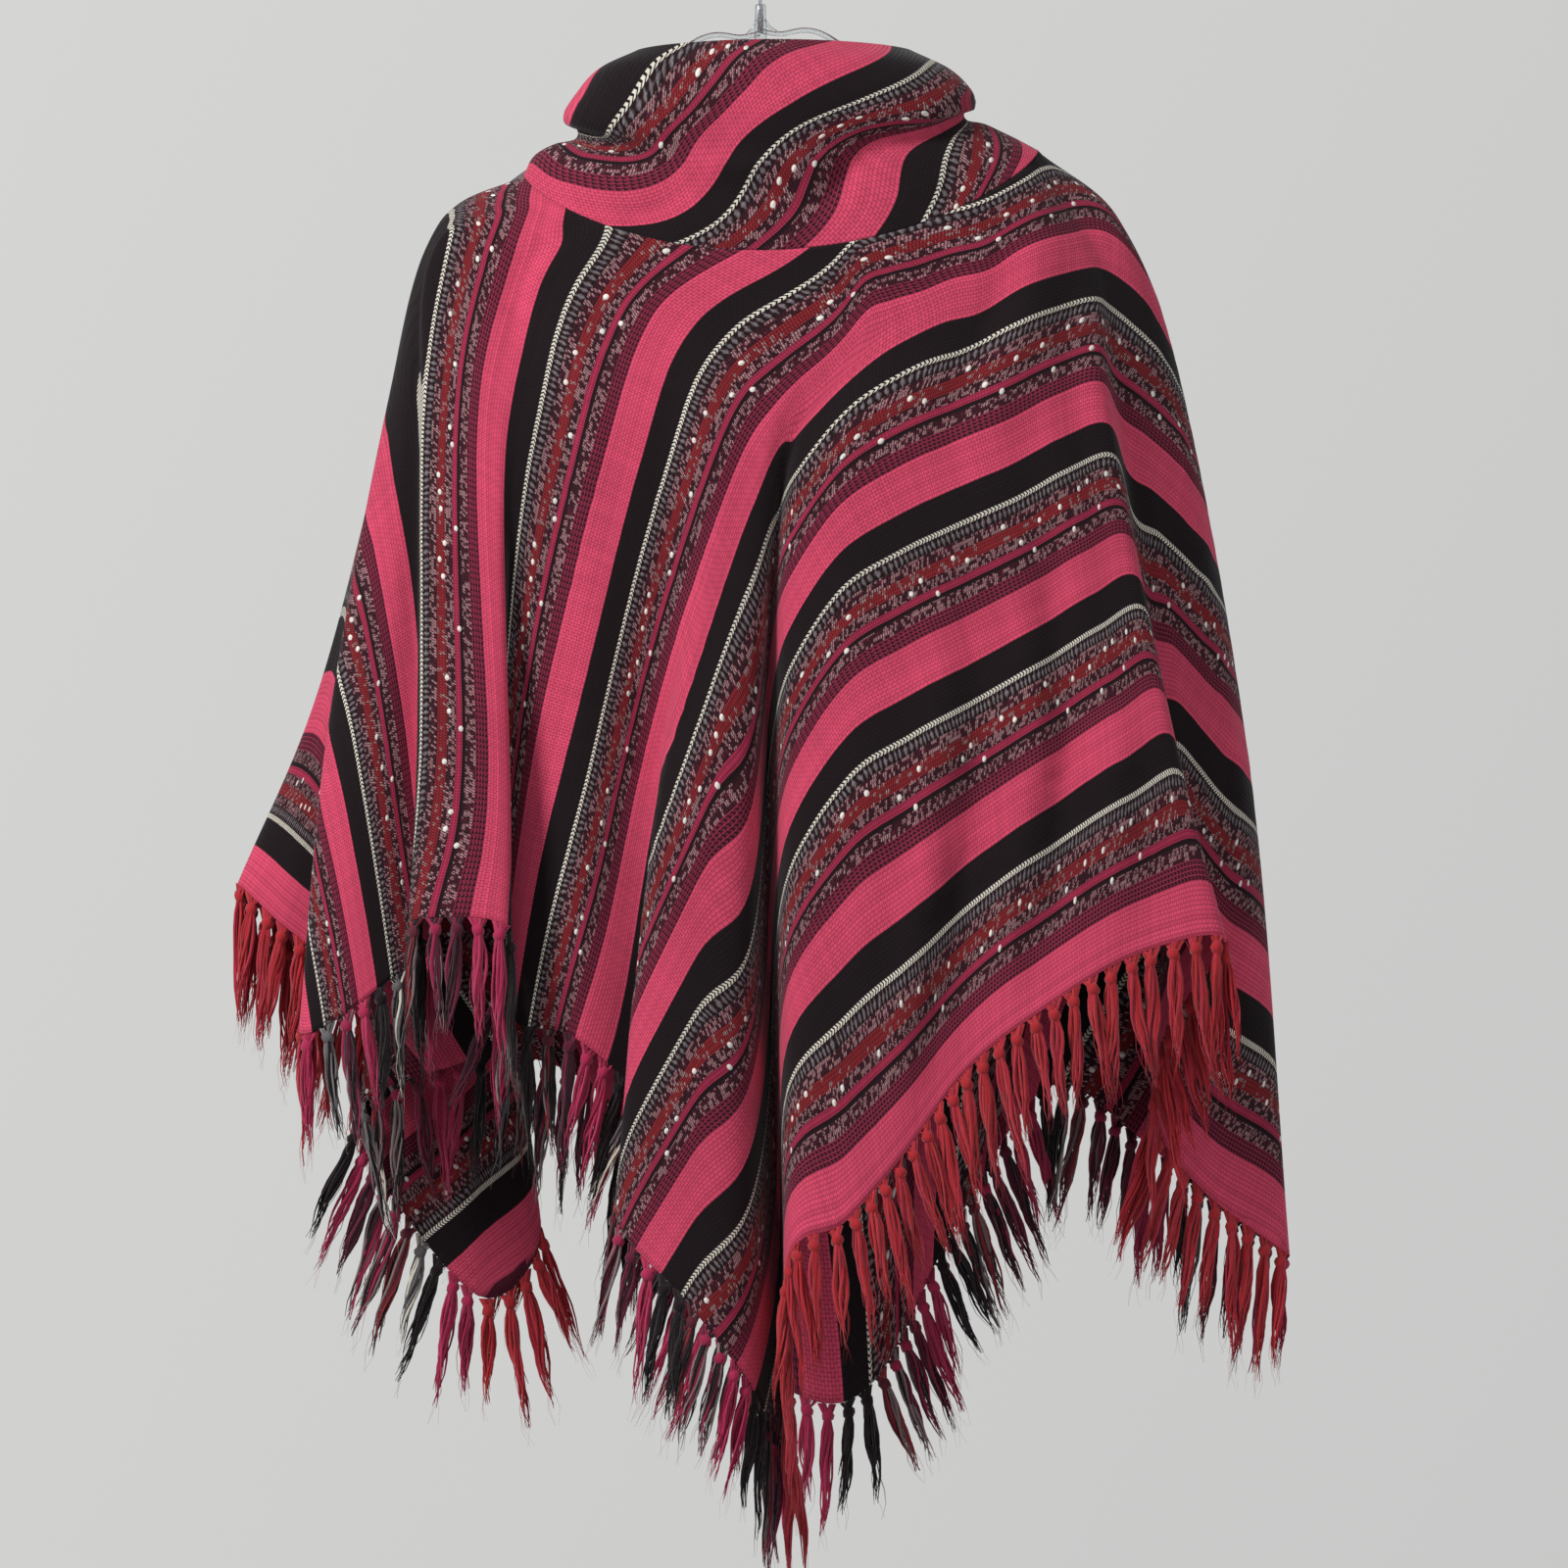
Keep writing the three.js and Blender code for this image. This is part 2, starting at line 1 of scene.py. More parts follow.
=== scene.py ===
import math
import bpy
import numpy as np
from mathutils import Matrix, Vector


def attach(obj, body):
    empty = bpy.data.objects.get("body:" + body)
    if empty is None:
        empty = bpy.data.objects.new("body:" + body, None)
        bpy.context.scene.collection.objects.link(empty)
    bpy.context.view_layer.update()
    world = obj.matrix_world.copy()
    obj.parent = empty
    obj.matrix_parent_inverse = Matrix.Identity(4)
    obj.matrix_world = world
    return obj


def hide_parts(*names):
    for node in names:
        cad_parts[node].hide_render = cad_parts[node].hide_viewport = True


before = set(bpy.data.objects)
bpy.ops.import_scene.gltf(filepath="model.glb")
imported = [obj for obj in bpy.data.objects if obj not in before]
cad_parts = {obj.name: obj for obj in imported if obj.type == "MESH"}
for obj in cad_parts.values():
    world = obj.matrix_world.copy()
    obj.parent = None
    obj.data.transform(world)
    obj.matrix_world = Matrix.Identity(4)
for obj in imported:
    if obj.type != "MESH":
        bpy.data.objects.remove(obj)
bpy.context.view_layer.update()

# The hanger's arms and hub.
# Clear moulded plastic, one piece: two sloping arms that carry the shoulders from inside, and an
# upright hub, bored for the hook, with a small web to each arm.
MM = 0.001
HUB_TOP, HUB_BOTTOM = 58, 84


def build_mesh(name, points, faces):
    """One smooth mesh object at the origin from an (n, 3) array of points in metres and a list or
    array of faces."""
    mesh = bpy.data.meshes.new(name)
    mesh.from_pydata(np.asarray(points).reshape(-1, 3).tolist(), [], [list(face) for face in faces])
    mesh.polygons.foreach_set("use_smooth", np.full(len(mesh.polygons), True))
    mesh.update()
    piece = bpy.data.objects.new(name, mesh)
    bpy.context.scene.collection.objects.link(piece)
    return piece


def grid_faces(rows, columns, first=0):
    """Quads between neighbouring rings of points, each with this many columns. The last column
    joins the first."""
    j, i = np.meshgrid(np.arange(rows - 1), np.arange(columns), indexing="ij")
    here, there = j * columns + i, j * columns + (i + 1) % columns
    return np.stack([here, there, there + columns, here + columns], -1).reshape(-1, 4) + first


def tube(path, radius, sides=12, flatten=1.0, up=(0.0, 1.0, 0.0)):
    """A closed tube round an (n, 3) path. Each ring is a circle of its own radius, squeezed along Y
    by flatten, square to the path; both ends run to a point on the path."""
    path = np.asarray(path, float)
    along = np.gradient(path, axis=0)
    along /= np.linalg.norm(along, axis=1, keepdims=True)
    side = np.cross(along, up)
    side /= np.linalg.norm(side, axis=1, keepdims=True)
    deep = np.cross(along, side)
    turn = np.linspace(0, 2 * np.pi, sides, endpoint=False)
    radius = np.broadcast_to(radius, len(path))
    round_path = np.cos(turn)[None, :, None] * side[:, None] \
        + flatten * np.sin(turn)[None, :, None] * deep[:, None]
    rings = path[:, None] + radius[:, None, None] * round_path
    points = np.concatenate([rings.reshape(-1, 3), path[:1], path[-1:]])
    faces = grid_faces(len(path), sides).tolist()
    count = len(path) * sides
    for i in range(sides):
        faces.append([count, (i + 1) % sides, i])
        faces.append([count + 1, count - sides + i, count - sides + (i + 1) % sides])
    return points, faces


def outward(piece):
    """Turns a closed mesh's faces to point out."""
    bpy.context.view_layer.objects.active = piece
    piece.select_set(True)
    bpy.ops.object.mode_set(mode="EDIT")
    bpy.ops.mesh.select_all(action="SELECT")
    bpy.ops.mesh.normals_make_consistent(inside=False)
    bpy.ops.object.mode_set(mode="OBJECT")
    piece.select_set(False)
    return piece


class Value:
    """A shader socket that takes part in Python sums: each operator adds one Math node."""

    def __init__(self, finish, socket):
        self.finish, self.socket = finish, socket

    def math(self, operation, *others):
        return self.finish.node("ShaderNodeMath", {"operation": operation}, *((self,) + others))

    def __add__(self, other):
        return self.math("ADD", other)

    def __sub__(self, other):
        return self.math("SUBTRACT", other)

    def __mul__(self, other):
        return self.math("MULTIPLY", other)

    def __truediv__(self, other):
        return self.math("DIVIDE", other)

    def __rsub__(self, other):
        return self.finish.node("ShaderNodeMath", {"operation": "SUBTRACT"}, other, self)

    __radd__, __rmul__ = __add__, __mul__

    def over(self, edge):
        return self.math("GREATER_THAN", edge)

    def fraction(self):
        return self.math("FRACT")

    def whole(self):
        return self.math("FLOOR")

    def size(self):
        return self.math("ABSOLUTE")

    def wave(self):
        return self.math("SINE")

    def larger(self, other):
        return self.math("MAXIMUM", other)

    def smaller(self, other):
        return self.math("MINIMUM", other)

    def between(self, low, high, soft=0.004):
        """1 between low and high, 0 outside, with soft edges."""
        rise = self.finish.node("ShaderNodeMapRange", {"interpolation_type": "SMOOTHSTEP"},
                                Value=self, **{"From Min": low - soft, "From Max": low + soft})
        fall = self.finish.node("ShaderNodeMapRange", {"interpolation_type": "SMOOTHSTEP"},
                                Value=self, **{"From Min": high - soft, "From Max": high + soft})
        return rise - fall


class Finish:
    """One procedural material. node() adds any node; set() fills the surface shader's sockets."""

    def __init__(self, name, **constants):
        self.material = bpy.data.materials.new(name)
        self.material.use_nodes = True
        self.tree = self.material.node_tree
        self.shader = self.tree.nodes["Principled BSDF"]
        self.set(**constants)

    def node(self, kind, settings=None, *places, out=0, **named):
        """Adds a node, gives it its settings, then fills its sockets by place or by name. A
        setting called ramp holds a colour ramp's stops as (place, colour) pairs."""
        made = self.tree.nodes.new(kind)
        for key, value in (settings or {}).items():
            if key == "ramp":
                elements = made.color_ramp.elements
                while len(elements) < len(value):
                    elements.new(0.5)
                for element, (place, colour) in zip(elements, value):
                    element.position = place
                    element.color = (*colour, 1)
            elif key == "stepped":
                made.color_ramp.interpolation = "CONSTANT" if value else "LINEAR"
            else:
                setattr(made, key, value)
        for place, value in [*enumerate(places), *named.items()]:
            self.fill(made.inputs[place], value)
        return Value(self, made.outputs[out])

    def fill(self, socket, value):
        if isinstance(value, Value):
            self.tree.links.new(value.socket, socket)
        elif isinstance(value, tuple) and len(value) == 3 and socket.type == "RGBA":
            socket.default_value = (*value, 1)
        else:
            socket.default_value = value

    def set(self, **sockets):
        for name, value in sockets.items():
            self.fill(self.shader.inputs[name.replace("_", " ")], value)

    def mix(self, share, first, second, blend="MIX"):
        """A colour part of the way from first to second."""
        made = self.tree.nodes.new("ShaderNodeMix")
        made.data_type, made.blend_type = "RGBA", blend
        self.fill(made.inputs["Factor"], share)
        self.fill([s for s in made.inputs if s.name == "A" and s.type == "RGBA"][0], first)
        self.fill([s for s in made.inputs if s.name == "B" and s.type == "RGBA"][0], second)
        return Value(self, [s for s in made.outputs if s.type == "RGBA"][0])

    def split(self, place):
        """The X, Y and Z parts of a vector."""
        parts = self.node("ShaderNodeSeparateXYZ", {}, place)
        return [Value(self, part) for part in parts.socket.node.outputs]

    def noise(self, place, scale, detail=2.0):
        return self.node("ShaderNodeTexNoise", {}, Vector=place, Scale=scale, Detail=detail)

    def bump(self, height, depth, strength=1.0):
        """Raises the surface by height times depth, in metres."""
        self.set(Normal=self.node("ShaderNodeBump", {}, Height=height, Distance=depth, Strength=strength))

    def on(self, piece):
        piece.data.materials.clear()
        piece.data.materials.append(self.material)
        return piece


def rgb(red, green, blue):
    """A colour as the eye reads it on a screen, 0 to 255, turned to the linear light of shaders."""
    return tuple((c / 255 / 12.92) if c <= 10 else ((c / 255 + 0.055) / 1.055) ** 2.4
                 for c in (red, green, blue))


def curve(knots, count):
    """A smooth line of count points through the knots, evenly shared among them."""
    knots = np.asarray(knots, float)
    at = np.linspace(0, len(knots) - 1, count)
    i = np.minimum(at.astype(int), len(knots) - 2)
    f = (at - i)[:, None]
    before, after = knots[np.maximum(i - 1, 0)], knots[np.minimum(i + 2, len(knots) - 1)]
    a, b = knots[i], knots[i + 1]
    return a + f * (b - before) / 2 + f**2 * (before - 2.5 * a + 2 * b - after / 2) \
        + f**3 * (1.5 * (a - b) + (after - before) / 2)


def clear_arm(places):
    """An arm through its places, rows of x and drop in mm: slender by the hub, deeper to the
    shoulder."""
    line = curve([(x, 0, -drop) for x, drop in places], 60)
    tip = abs(places[-1][0])
    deep = np.interp(np.abs(line[:, 0]), [0, 44, 80, tip - 6, tip], [1.6, 1.8, 4.2, 4.4, 2.0])
    return tube(line * MM, deep * MM, 14, 0.62)


CLEAR_PARTS = [
    clear_arm([(0, 77), (-12, 79.5), (-44, 83), (-100, 136), (-150, 169), (-176, 187.5), (-207, 203.5)]),
    clear_arm([(0, 75.5), (12, 77.5), (44, 79), (100, 128), (150, 151), (184, 166), (202, 177),
               (231, 201.5)]),
    tube(curve([(-2.5, 0, -68), (-5, 0, -74), (-9, 0, -78)], 8) * MM, 0.0011, 10),
    tube(curve([(2.5, 0, -68), (6, 0, -73), (11, 0, -76.5)], 8) * MM, 0.0011, 10),
]


def lathe(profile, sides=24):
    """A closed turned shape about Z from rows of radius and height in mm."""
    profile = np.asarray(profile, float) * MM
    turn = np.linspace(0, 2 * np.pi, sides, endpoint=False)
    points = np.stack([profile[:, :1] * np.cos(turn), profile[:, :1] * np.sin(turn),
                       np.repeat(profile[:, 1:], sides, 1)], -1)
    return points.reshape(-1, 3), grid_faces(len(profile), sides)


CLEAR_PARTS.append(lathe([(1.5, -HUB_TOP), (3.1, -HUB_TOP), (3.6, -HUB_TOP - 1), (3.7, -68), (4.2, -74),
                          (4.2, -HUB_BOTTOM + 1), (3.4, -HUB_BOTTOM), (0.01, -HUB_BOTTOM), (0.01, -77),
                          (1.5, -76.6), (1.5, -HUB_TOP)]))


def joined(name, parts):
    """One mesh object from several (points, faces) pairs."""
    points, faces, first = [], [], 0
    for some, around in parts:
        points.append(np.asarray(some).reshape(-1, 3))
        faces += [[index + first for index in face] for face in around]
        first += len(points[-1])
    return build_mesh(name, np.concatenate(points), faces)


clear_plastic = Finish("clear_plastic", Base_Color=rgb(240, 244, 245), IOR=1.45, Transmission_Weight=0.9)
plastic_place = clear_plastic.node("ShaderNodeTexCoord", {}, out="Object")
clear_plastic.set(Roughness=0.08 + 0.12 * clear_plastic.noise(plastic_place, 160.0))
hanger = clear_plastic.on(outward(joined("clear_hanger", CLEAR_PARTS)))
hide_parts("hanger")
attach(hanger, "root")

# The hook.
# Bright steel wire, 2.2 mm thick: a round hook that carries everything, and a shank cut with a
# screw thread that is moulded into the hub.
WIRE_RADIUS, HOOK_RADIUS, SHANK_BOTTOM = 1.1, 20, 76
THREAD_TURNS, THREAD_RADIUS, THREAD_WIRE, STEPS_A_TURN = 16, 1.05, 0.25, 14
hook_angles = np.radians([-35, -10, 20, 50, 80, 110, 140, 170, 190])
hook_line = [(0, 0, -SHANK_BOTTOM), (0, 0, -64), (0, 0, -52), (2, 0, -46), (12, 0, -38)] + [
    (HOOK_RADIUS * math.cos(a), 0, WIRE_RADIUS - HOOK_RADIUS + HOOK_RADIUS * math.sin(a))
    for a in hook_angles]
thread_turn = np.linspace(0, 2 * np.pi * THREAD_TURNS, THREAD_TURNS * STEPS_A_TURN)
thread_line = np.stack([THREAD_RADIUS * np.cos(thread_turn), THREAD_RADIUS * np.sin(thread_turn),
                        np.linspace(-SHANK_BOTTOM + 1, -HUB_TOP - 1, len(thread_turn))], -1)
steel = Finish("steel_wire", Base_Color=rgb(196, 197, 200), Metallic=1.0)
steel_place = steel.node("ShaderNodeTexCoord", {}, out="Object")
steel.set(Roughness=0.2 + 0.15 * steel.noise(steel_place, 400.0))
wire = tube(curve(hook_line, 180) * MM, WIRE_RADIUS * MM, 14)
thread = tube(thread_line * MM, THREAD_WIRE * MM, 6, up=(0.0, 0.0, 1.0))
hook = steel.on(outward(joined("steel_hook", [wire, thread])))
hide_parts("hanger_hook")
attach(hook, "root")

# The body's cloth.
# One rectangle of warp-striped plain weave, hung from a neck hole near its middle so that its
# corners hang down, in the folds that it takes over the hanger. The stripes run along the warp.
CLOTH_THICK = 2.0
# Half the neck hole's length along the warp, and the first and last stripe that the cloth has
NECK_HALF, EDGE_STRIPES = 115, (0.01, 9.28)
CLOTH_WIDE, CLOTH_LONG = 0.92, 1.35
REPEAT = 98.0
NECK = dict(left=-156, right=184, front=-62, back=45, drops=(172, 223, 156, 150))
STATIONS = (0, 0.15, 0.38, 0.66, 1)
# Each fold: its name, degrees round the neck, then x, y and drop in mm at the shoulder, the chest,
# the waist and the hem, and last the stripe that it lies on at the neck and at those four.
FOLDS = [
    ("left side", -6, (-209, 16, 200), (-239, 28, 306), (-291, 30, 506), (-347, 22, 642),
     (6.42, 6.85, 7.15, 8.0, 9.26)),
    ("left flap", -2, (-211, 11, 202), (-243, 19, 312), (-287, 14, 518), (-321, 2, 665),
     (6.4, 6.85, 7.1, 8.1, 9.26)),
    ("left valley", 2, (-213, 6, 204), (-245, 10, 317), (-280, 0, 530), (-290, -6, 696),
     (6.37, 6.85, 7.05, 8.05, 9.26)),
    ("left corner", 6, (-214, 1, 207), (-246, 0, 322), (-285, -18, 538), (-304, -40, 739),
     (6.35, 6.87, 6.97, 8.0, 9.26)),
    ("panel one", 11, (-215, -5, 209), (-242, -10, 325), (-269, -32, 546), (-277, -50, 729),
     (6.3, 6.88, 6.93, 7.8, 8.55)),
    ("panel one right", 16, (-214, -11, 212), (-235, -19, 328), (-248, -36, 553), (-246, -46, 705),
     (6.25, 6.88, 6.86, 7.5, 7.85)),
    ("valley one", 22, (-213, -17, 215), (-225, -27, 333), (-224, -34, 559), (-218, -42, 686),
     (6.18, 6.86, 6.8, 7.1, 7.25)),
    ("bold ridge", 28, (-209, -24, 219), (-218, -42, 339), (-222, -66, 562), (-229, -78, 665),
     (6.1, 6.83, 6.73, 6.76, 6.64)),
    ("bold ridge right", 38, (-179, -37, 234), (-179, -60, 351), (-168, -78, 562), (-167, -88, 668),
     (5.91, 6.42, 6.16, 6.12, 6.02)),
    ("valley two", 45, (-160, -43, 244), (-160, -60, 356), (-172, -48, 566), (-174, -46, 712),
     (5.83, 6.17, 5.9, 5.75, 5.45)),
    ("panel three left", 51, (-137, -48, 250), (-137, -64, 361), (-150, -52, 569), (-160, -52, 733),
     (5.75, 5.91, 5.63, 5.24, 4.95)),
    ("panel three", 62, (-98, -57, 262), (-95, -74, 367), (-114, -62, 575), (-121, -64, 743),
     (5.59, 5.54, 5.17, 4.78, 4.25)),
    ("valley three", 73, (-56, -64, 270), (-49, -80, 374), (-70, -60, 585), (-79, -58, 790),
     (5.41, 5.12, 4.62, 4.05, 3.6)),
    ("ridge two", 83, (-14, -68, 275), (-17, -84, 375), (-68, -92, 598), (-94, -98, 859),
     (5.24, 4.78, 4.24, 3.85, 2.6)),
    ("panel four", 92, (22, -70, 275), (-1, -83, 374), (-36, -100, 608), (-49, -112, 913),
     (5.08, 4.58, 4.06, 3.38, 1.75)),
    ("panel four right", 100, (48, -70, 273), (9, -78, 371), (-7, -92, 614), (-8, -100, 967),
     (4.93, 4.43, 3.93, 3.16, 1.1)),
    ("deep valley", 107, (68, -69, 270), (17, -73, 369), (5, -48, 618), (20, -34, 1022),
     (4.78, 4.23, 3.91, 2.54, 0.01)),
    ("ridge three", 113, (84, -68, 266), (26, -80, 366), (20, -98, 608), (18, -112, 889),
     (4.75, 4.2, 3.81, 1.97, 0.01)),
    ("panel five left", 120, (103, -66, 262), (55, -87, 357), (58, -108, 588), (55, -124, 862),
     (4.75, 4.17, 3.55, 1.67, 0.01)),
    ("panel five hollow", 128, (126, -62, 254), (90, -84, 348), (100, -104, 569), (90, -118, 822),
     (4.77, 4.15, 3.43, 1.6, 0.01)),
    ("panel five", 137, (149, -57, 244), (123, -80, 338), (146, -98, 552), (136, -108, 762),
     (4.82, 4.19, 3.39, 1.52, 0.01)),
    ("panel five crown", 147, (172, -50, 232), (159, -74, 328), (191, -94, 538), (185, -112, 723),
     (4.85, 4.17, 3.35, 1.41, 0.01)),
    ("panel five right", 158, (192, -41, 221), (194, -66, 319), (233, -90, 526), (246, -104, 687),
     (4.87, 4.2, 3.27, 1.29, 0.01)),
    ("ridge four", 168, (213, -30, 226), (225, -58, 325), (269, -84, 536), (305, -96, 677),
     (4.88, 4.09, 3.12, 1.08, 0.01)),
    ("valley four", 173, (222, -20, 219), (235, -38, 322), (263, -54, 549), (268, -58, 738),
     (4.9, 4.14, 3.33, 1.68, 0.01)),
    ("panel six", 178, (229, -10, 211), (250, -26, 315), (279, -40, 559), (262, -40, 800),
     (4.92, 4.25, 3.48, 1.74, 0.01)),
    ("panel six right", 183, (234, -2, 203), (266, -10, 308), (305, -22, 569), (296, -26, 847),
     (4.95, 4.4, 3.66, 1.9, 0.01)),
    ("right side", 188, (236, 8, 199), (278, 10, 309), (325, 6, 575), (350, 0, 887),
     (5.0, 4.6, 3.9, 2.03, 0.01)),
    ("back right edge", 197, (230, 20, 200), (266, 34, 312), (300, 36, 575), (306, 30, 858),
     (5.08, 4.75, 3.9, 2.2, 0.57)),
    ("back right", 212, (202, 32, 210), (218, 48, 330), (240, 56, 560), (250, 44, 809),
     (5.15, 4.85, 3.97, 2.5, 1.27)),
    ("back right ridge", 228, (160, 41, 220), (168, 56, 345), (184, 66, 560), (192, 58, 777),
     (5.25, 4.97, 4.12, 2.9, 1.9)),
    ("back valley one", 243, (116, 46, 226), (120, 60, 350), (124, 58, 580), (129, 42, 870),
     (5.4, 5.12, 4.32, 3.3, 2.75)),
    ("back ridge one", 256, (72, 48, 230), (72, 62, 360), (74, 66, 610), (77, 54, 972),
     (5.55, 5.3, 4.52, 3.65, 3.74)),
    ("back middle", 268, (28, 48, 232), (28, 62, 360), (30, 60, 620), (29, 44, 984),
     (5.7, 5.5, 4.8, 4.0, 4.26)),
    ("back ridge two", 280, (-16, 48, 230), (-20, 62, 355), (-26, 68, 600), (-27, 58, 930),
     (5.85, 5.72, 5.15, 4.45, 4.94)),
    ("back valley two", 291, (-58, 47, 228), (-66, 60, 345), (-80, 58, 570), (-88, 44, 803),
     (6.0, 5.95, 5.5, 4.9, 6.0)),
    ("back left", 302, (-96, 44, 224), (-108, 58, 335), (-134, 58, 545), (-144, 42, 760),
     (6.12, 6.15, 5.85, 5.35, 6.55)),
    ("back left inner", 313, (-130, 41, 220), (-150, 55, 330), (-190, 58, 530), (-209, 42, 764),
     (6.22, 6.35, 6.2, 5.85, 7.15)),
    ("back turn in", 322, (-156, 38, 215), (-184, 53, 325), (-236, 60, 520), (-269, 50, 803),
     (6.3, 6.52, 6.5, 6.3, 7.93)),
    ("back corner", 330, (-172, 36, 211), (-202, 54, 321), (-214, 73, 525), (-189, 67, 917),
     (6.34, 6.62, 6.68, 6.55, 9.26)),
    ("back turn out", 336, (-184, 33, 208), (-213, 55, 317), (-188, 85, 520), (-148, 84, 868),
     (6.37, 6.7, 6.78, 6.8, 9.26)),
    ("back left layer", 341, (-193, 30, 205), (-222, 54, 313), (-218, 96, 515), (-218, 101, 783),
     (6.39, 6.75, 6.86, 7.15, 9.26)),
    ("back left edge", 346, (-200, 26, 203), (-229, 48, 310), (-254, 84, 510), (-287, 88, 712),
     (6.4, 6.8, 6.95, 7.5, 9.26)),
    ("left back side", 350, (-205, 21, 201), (-234, 39, 307), (-276, 58, 507), (-324, 60, 670),
     (6.41, 6.83, 7.06, 7.8, 9.26)),
]
FOLD_NAMES = [row[0] for row in FOLDS]
CORNERS = [FOLD_NAMES.index(name) for name in ("left corner", "deep valley", "right side", "back corner")]


def ring(size, turn):
    """Points of a flattened ring in mm: turn runs from its left end round the front. x follows the
    cosine, y a blunted sine, and the drop blends the two ends with a dip at front and back."""
    turn = np.asarray(turn, float)
    across, forward = (1 - np.cos(turn)) / 2, np.sin(turn)
    depth = np.sign(forward) * np.abs(forward) ** 0.85
    left, front, right, back = size["drops"]
    dip = np.where(forward > 0, front, back) - (left + right) / 2
    drop = left + (right - left) * across + dip * np.abs(forward) ** 1.5
    x = size["left"] + (size["right"] - size["left"]) * across
    y = np.where(depth > 0, size["front"] * depth, -size["back"] * depth)
    return np.stack([x, y, drop], -1)


def through(values, at, t):
    """A smooth cubic through rows of values at their own places, its slope at each one taken from
    its two neighbours, read at every t."""
    at = np.asarray(at, float)
    before, after = np.maximum(np.arange(len(at)) - 1, 0), np.minimum(np.arange(len(at)) + 1, len(at) - 1)
    slope = (values[after] - values[before]) / (at[after] - at[before])[:, None, None]
    i = np.clip(np.searchsorted(at, t, side="right") - 1, 0, len(at) - 2)
    width = (at[i + 1] - at[i])[:, None, None]
    f = ((t - at[i]) / (at[i + 1] - at[i]))[:, None, None]
    return ((2 * f**3 - 3 * f**2 + 1) * values[i] + (f**3 - 2 * f**2 + f) * width * slope[i]
            + (3 * f**2 - 2 * f**3) * values[i + 1] + (f**3 - f**2) * width * slope[i + 1])


def round_folds(lines, column):
    """Reads rows of closed fold lines at any column, as a Catmull-Rom curve round them."""
    count = lines.shape[1]
    first = np.floor(column).astype(int)
    f = (column - first)[None, :, None]
    a, b, c, d = (lines[:, (first + k) % count] for k in (-1, 0, 1, 2))
    return (a * (-f + 2 * f**2 - f**3) + b * (2 - 5 * f**2 + 3 * f**3)
            + c * (f + 4 * f**2 - 3 * f**3) + d * (-f**2 + f**3)) / 2


def hem_place(column):
    """How far along the warp the hem lies at each column: 0 on the front left end, the cloth's
    length on the back right end, and in between by distance along the two selvedges."""
    hem = round_folds(np.array([[row[5] for row in FOLDS]], float), column)[0]
    left, front, right, back = CORNERS
    steps = np.linalg.norm(np.diff(hem, axis=0, append=hem[:1]), axis=1)
    run = np.concatenate([[0], np.cumsum(steps)])[:-1]
    place = np.zeros(len(column))
    total = run[-1] + steps[-1]

    def share(start, stop, here):
        first, last = np.interp([start, stop], column, run)
        last = last if last > first else last + total
        beyond = np.where(run[here] < first - 1e-6, run[here] + total, run[here])
        return (beyond - first) / (last - first)

    on_front = (column > front) & (column < right)
    on_end = (column >= right) & (column <= back)
    on_left = (column > back) | (column < left)
    place[on_front] = share(front, right, on_front)
    place[on_end] = 1
    place[on_left] = 1 - share(back, left, on_left)
    return place * CLOTH_LONG * 1000


def body_surface(column, t):
    """The middle of the body's cloth on a grid of rows t and columns: x, y, z in mm, then the place
    along the warp in mm and across it in stripe repeats."""
    neck = ring(NECK, np.radians([row[1] for row in FOLDS]))
    places = np.stack([neck] + [np.array([row[k] for row in FOLDS], float) for k in (2, 3, 4, 5)])
    stripes = np.array([row[6] for row in FOLDS], float).T[:, :, None]
    lines = through(np.concatenate([places, stripes], -1), STATIONS, t)
    grid = round_folds(lines, column)
    grid[..., 2] *= -1
    steps = np.linalg.norm(np.diff(grid[..., :3], axis=0, prepend=grid[:1, :, :3]), axis=-1)
    run = np.cumsum(steps, axis=0)
    degrees = [row[1] for row in FOLDS] + [FOLDS[0][1] + 360]
    turn = np.radians(np.interp(column, np.arange(len(FOLDS) + 1), degrees))
    neck_place = CLOTH_LONG * 500 - NECK_HALF * np.cos(turn - np.radians(45))
    warp = neck_place + (hem_place(column) - neck_place) * run / run[-1]
    across = np.clip(grid[..., 3], *EDGE_STRIPES)
    return grid[..., :3], warp, across


def grid_normals(points):
    """Unit normals of rings of points, from the slopes along the rows and round the columns."""
    along = np.roll(points, -1, axis=1) - np.roll(points, 1, axis=1)
    normals = np.cross(np.gradient(points, axis=0), along)
    return normals / np.linalg.norm(normals, axis=-1, keepdims=True)


SPINE_STEPS = 24


def pressed(middle, columns, rows, marks, around, outward=1):
    """Raises or sinks soft lines in a grid of cloth. Each mark runs from one place to another,
    each given as column and row share; its depth in mm falls off as a bell across its width and
    fades at both ends. around is the columns' whole turn."""
    normals = grid_normals(middle) * outward
    lift = np.zeros(middle.shape[:2])
    near = np.linspace(0, 1, SPINE_STEPS + 1)
    for _, (column_a, row_a), (column_b, row_b), width, depth in marks:
        c = (column_a + (column_b - column_a) * near - columns[0]) % around + columns[0]
        i = np.round(np.interp(c, columns, np.arange(len(columns)))).astype(int)
        j = np.round(np.interp(row_a + (row_b - row_a) * near, rows, np.arange(len(rows)))).astype(int)
        spine = middle[j, i]
        away = np.linalg.norm(middle[:, :, None] - spine, axis=-1)
        closest = away.argmin(-1)
        fade = np.sin(np.pi * np.clip(closest / SPINE_STEPS, 0.04, 0.96)) ** 0.6
        same_side = (normals * normals[j, i][closest]).sum(-1) > 0
        lift += depth * fade * same_side * np.exp(-(away.min(-1) / width) ** 2)
    return middle + normals * lift[..., None]


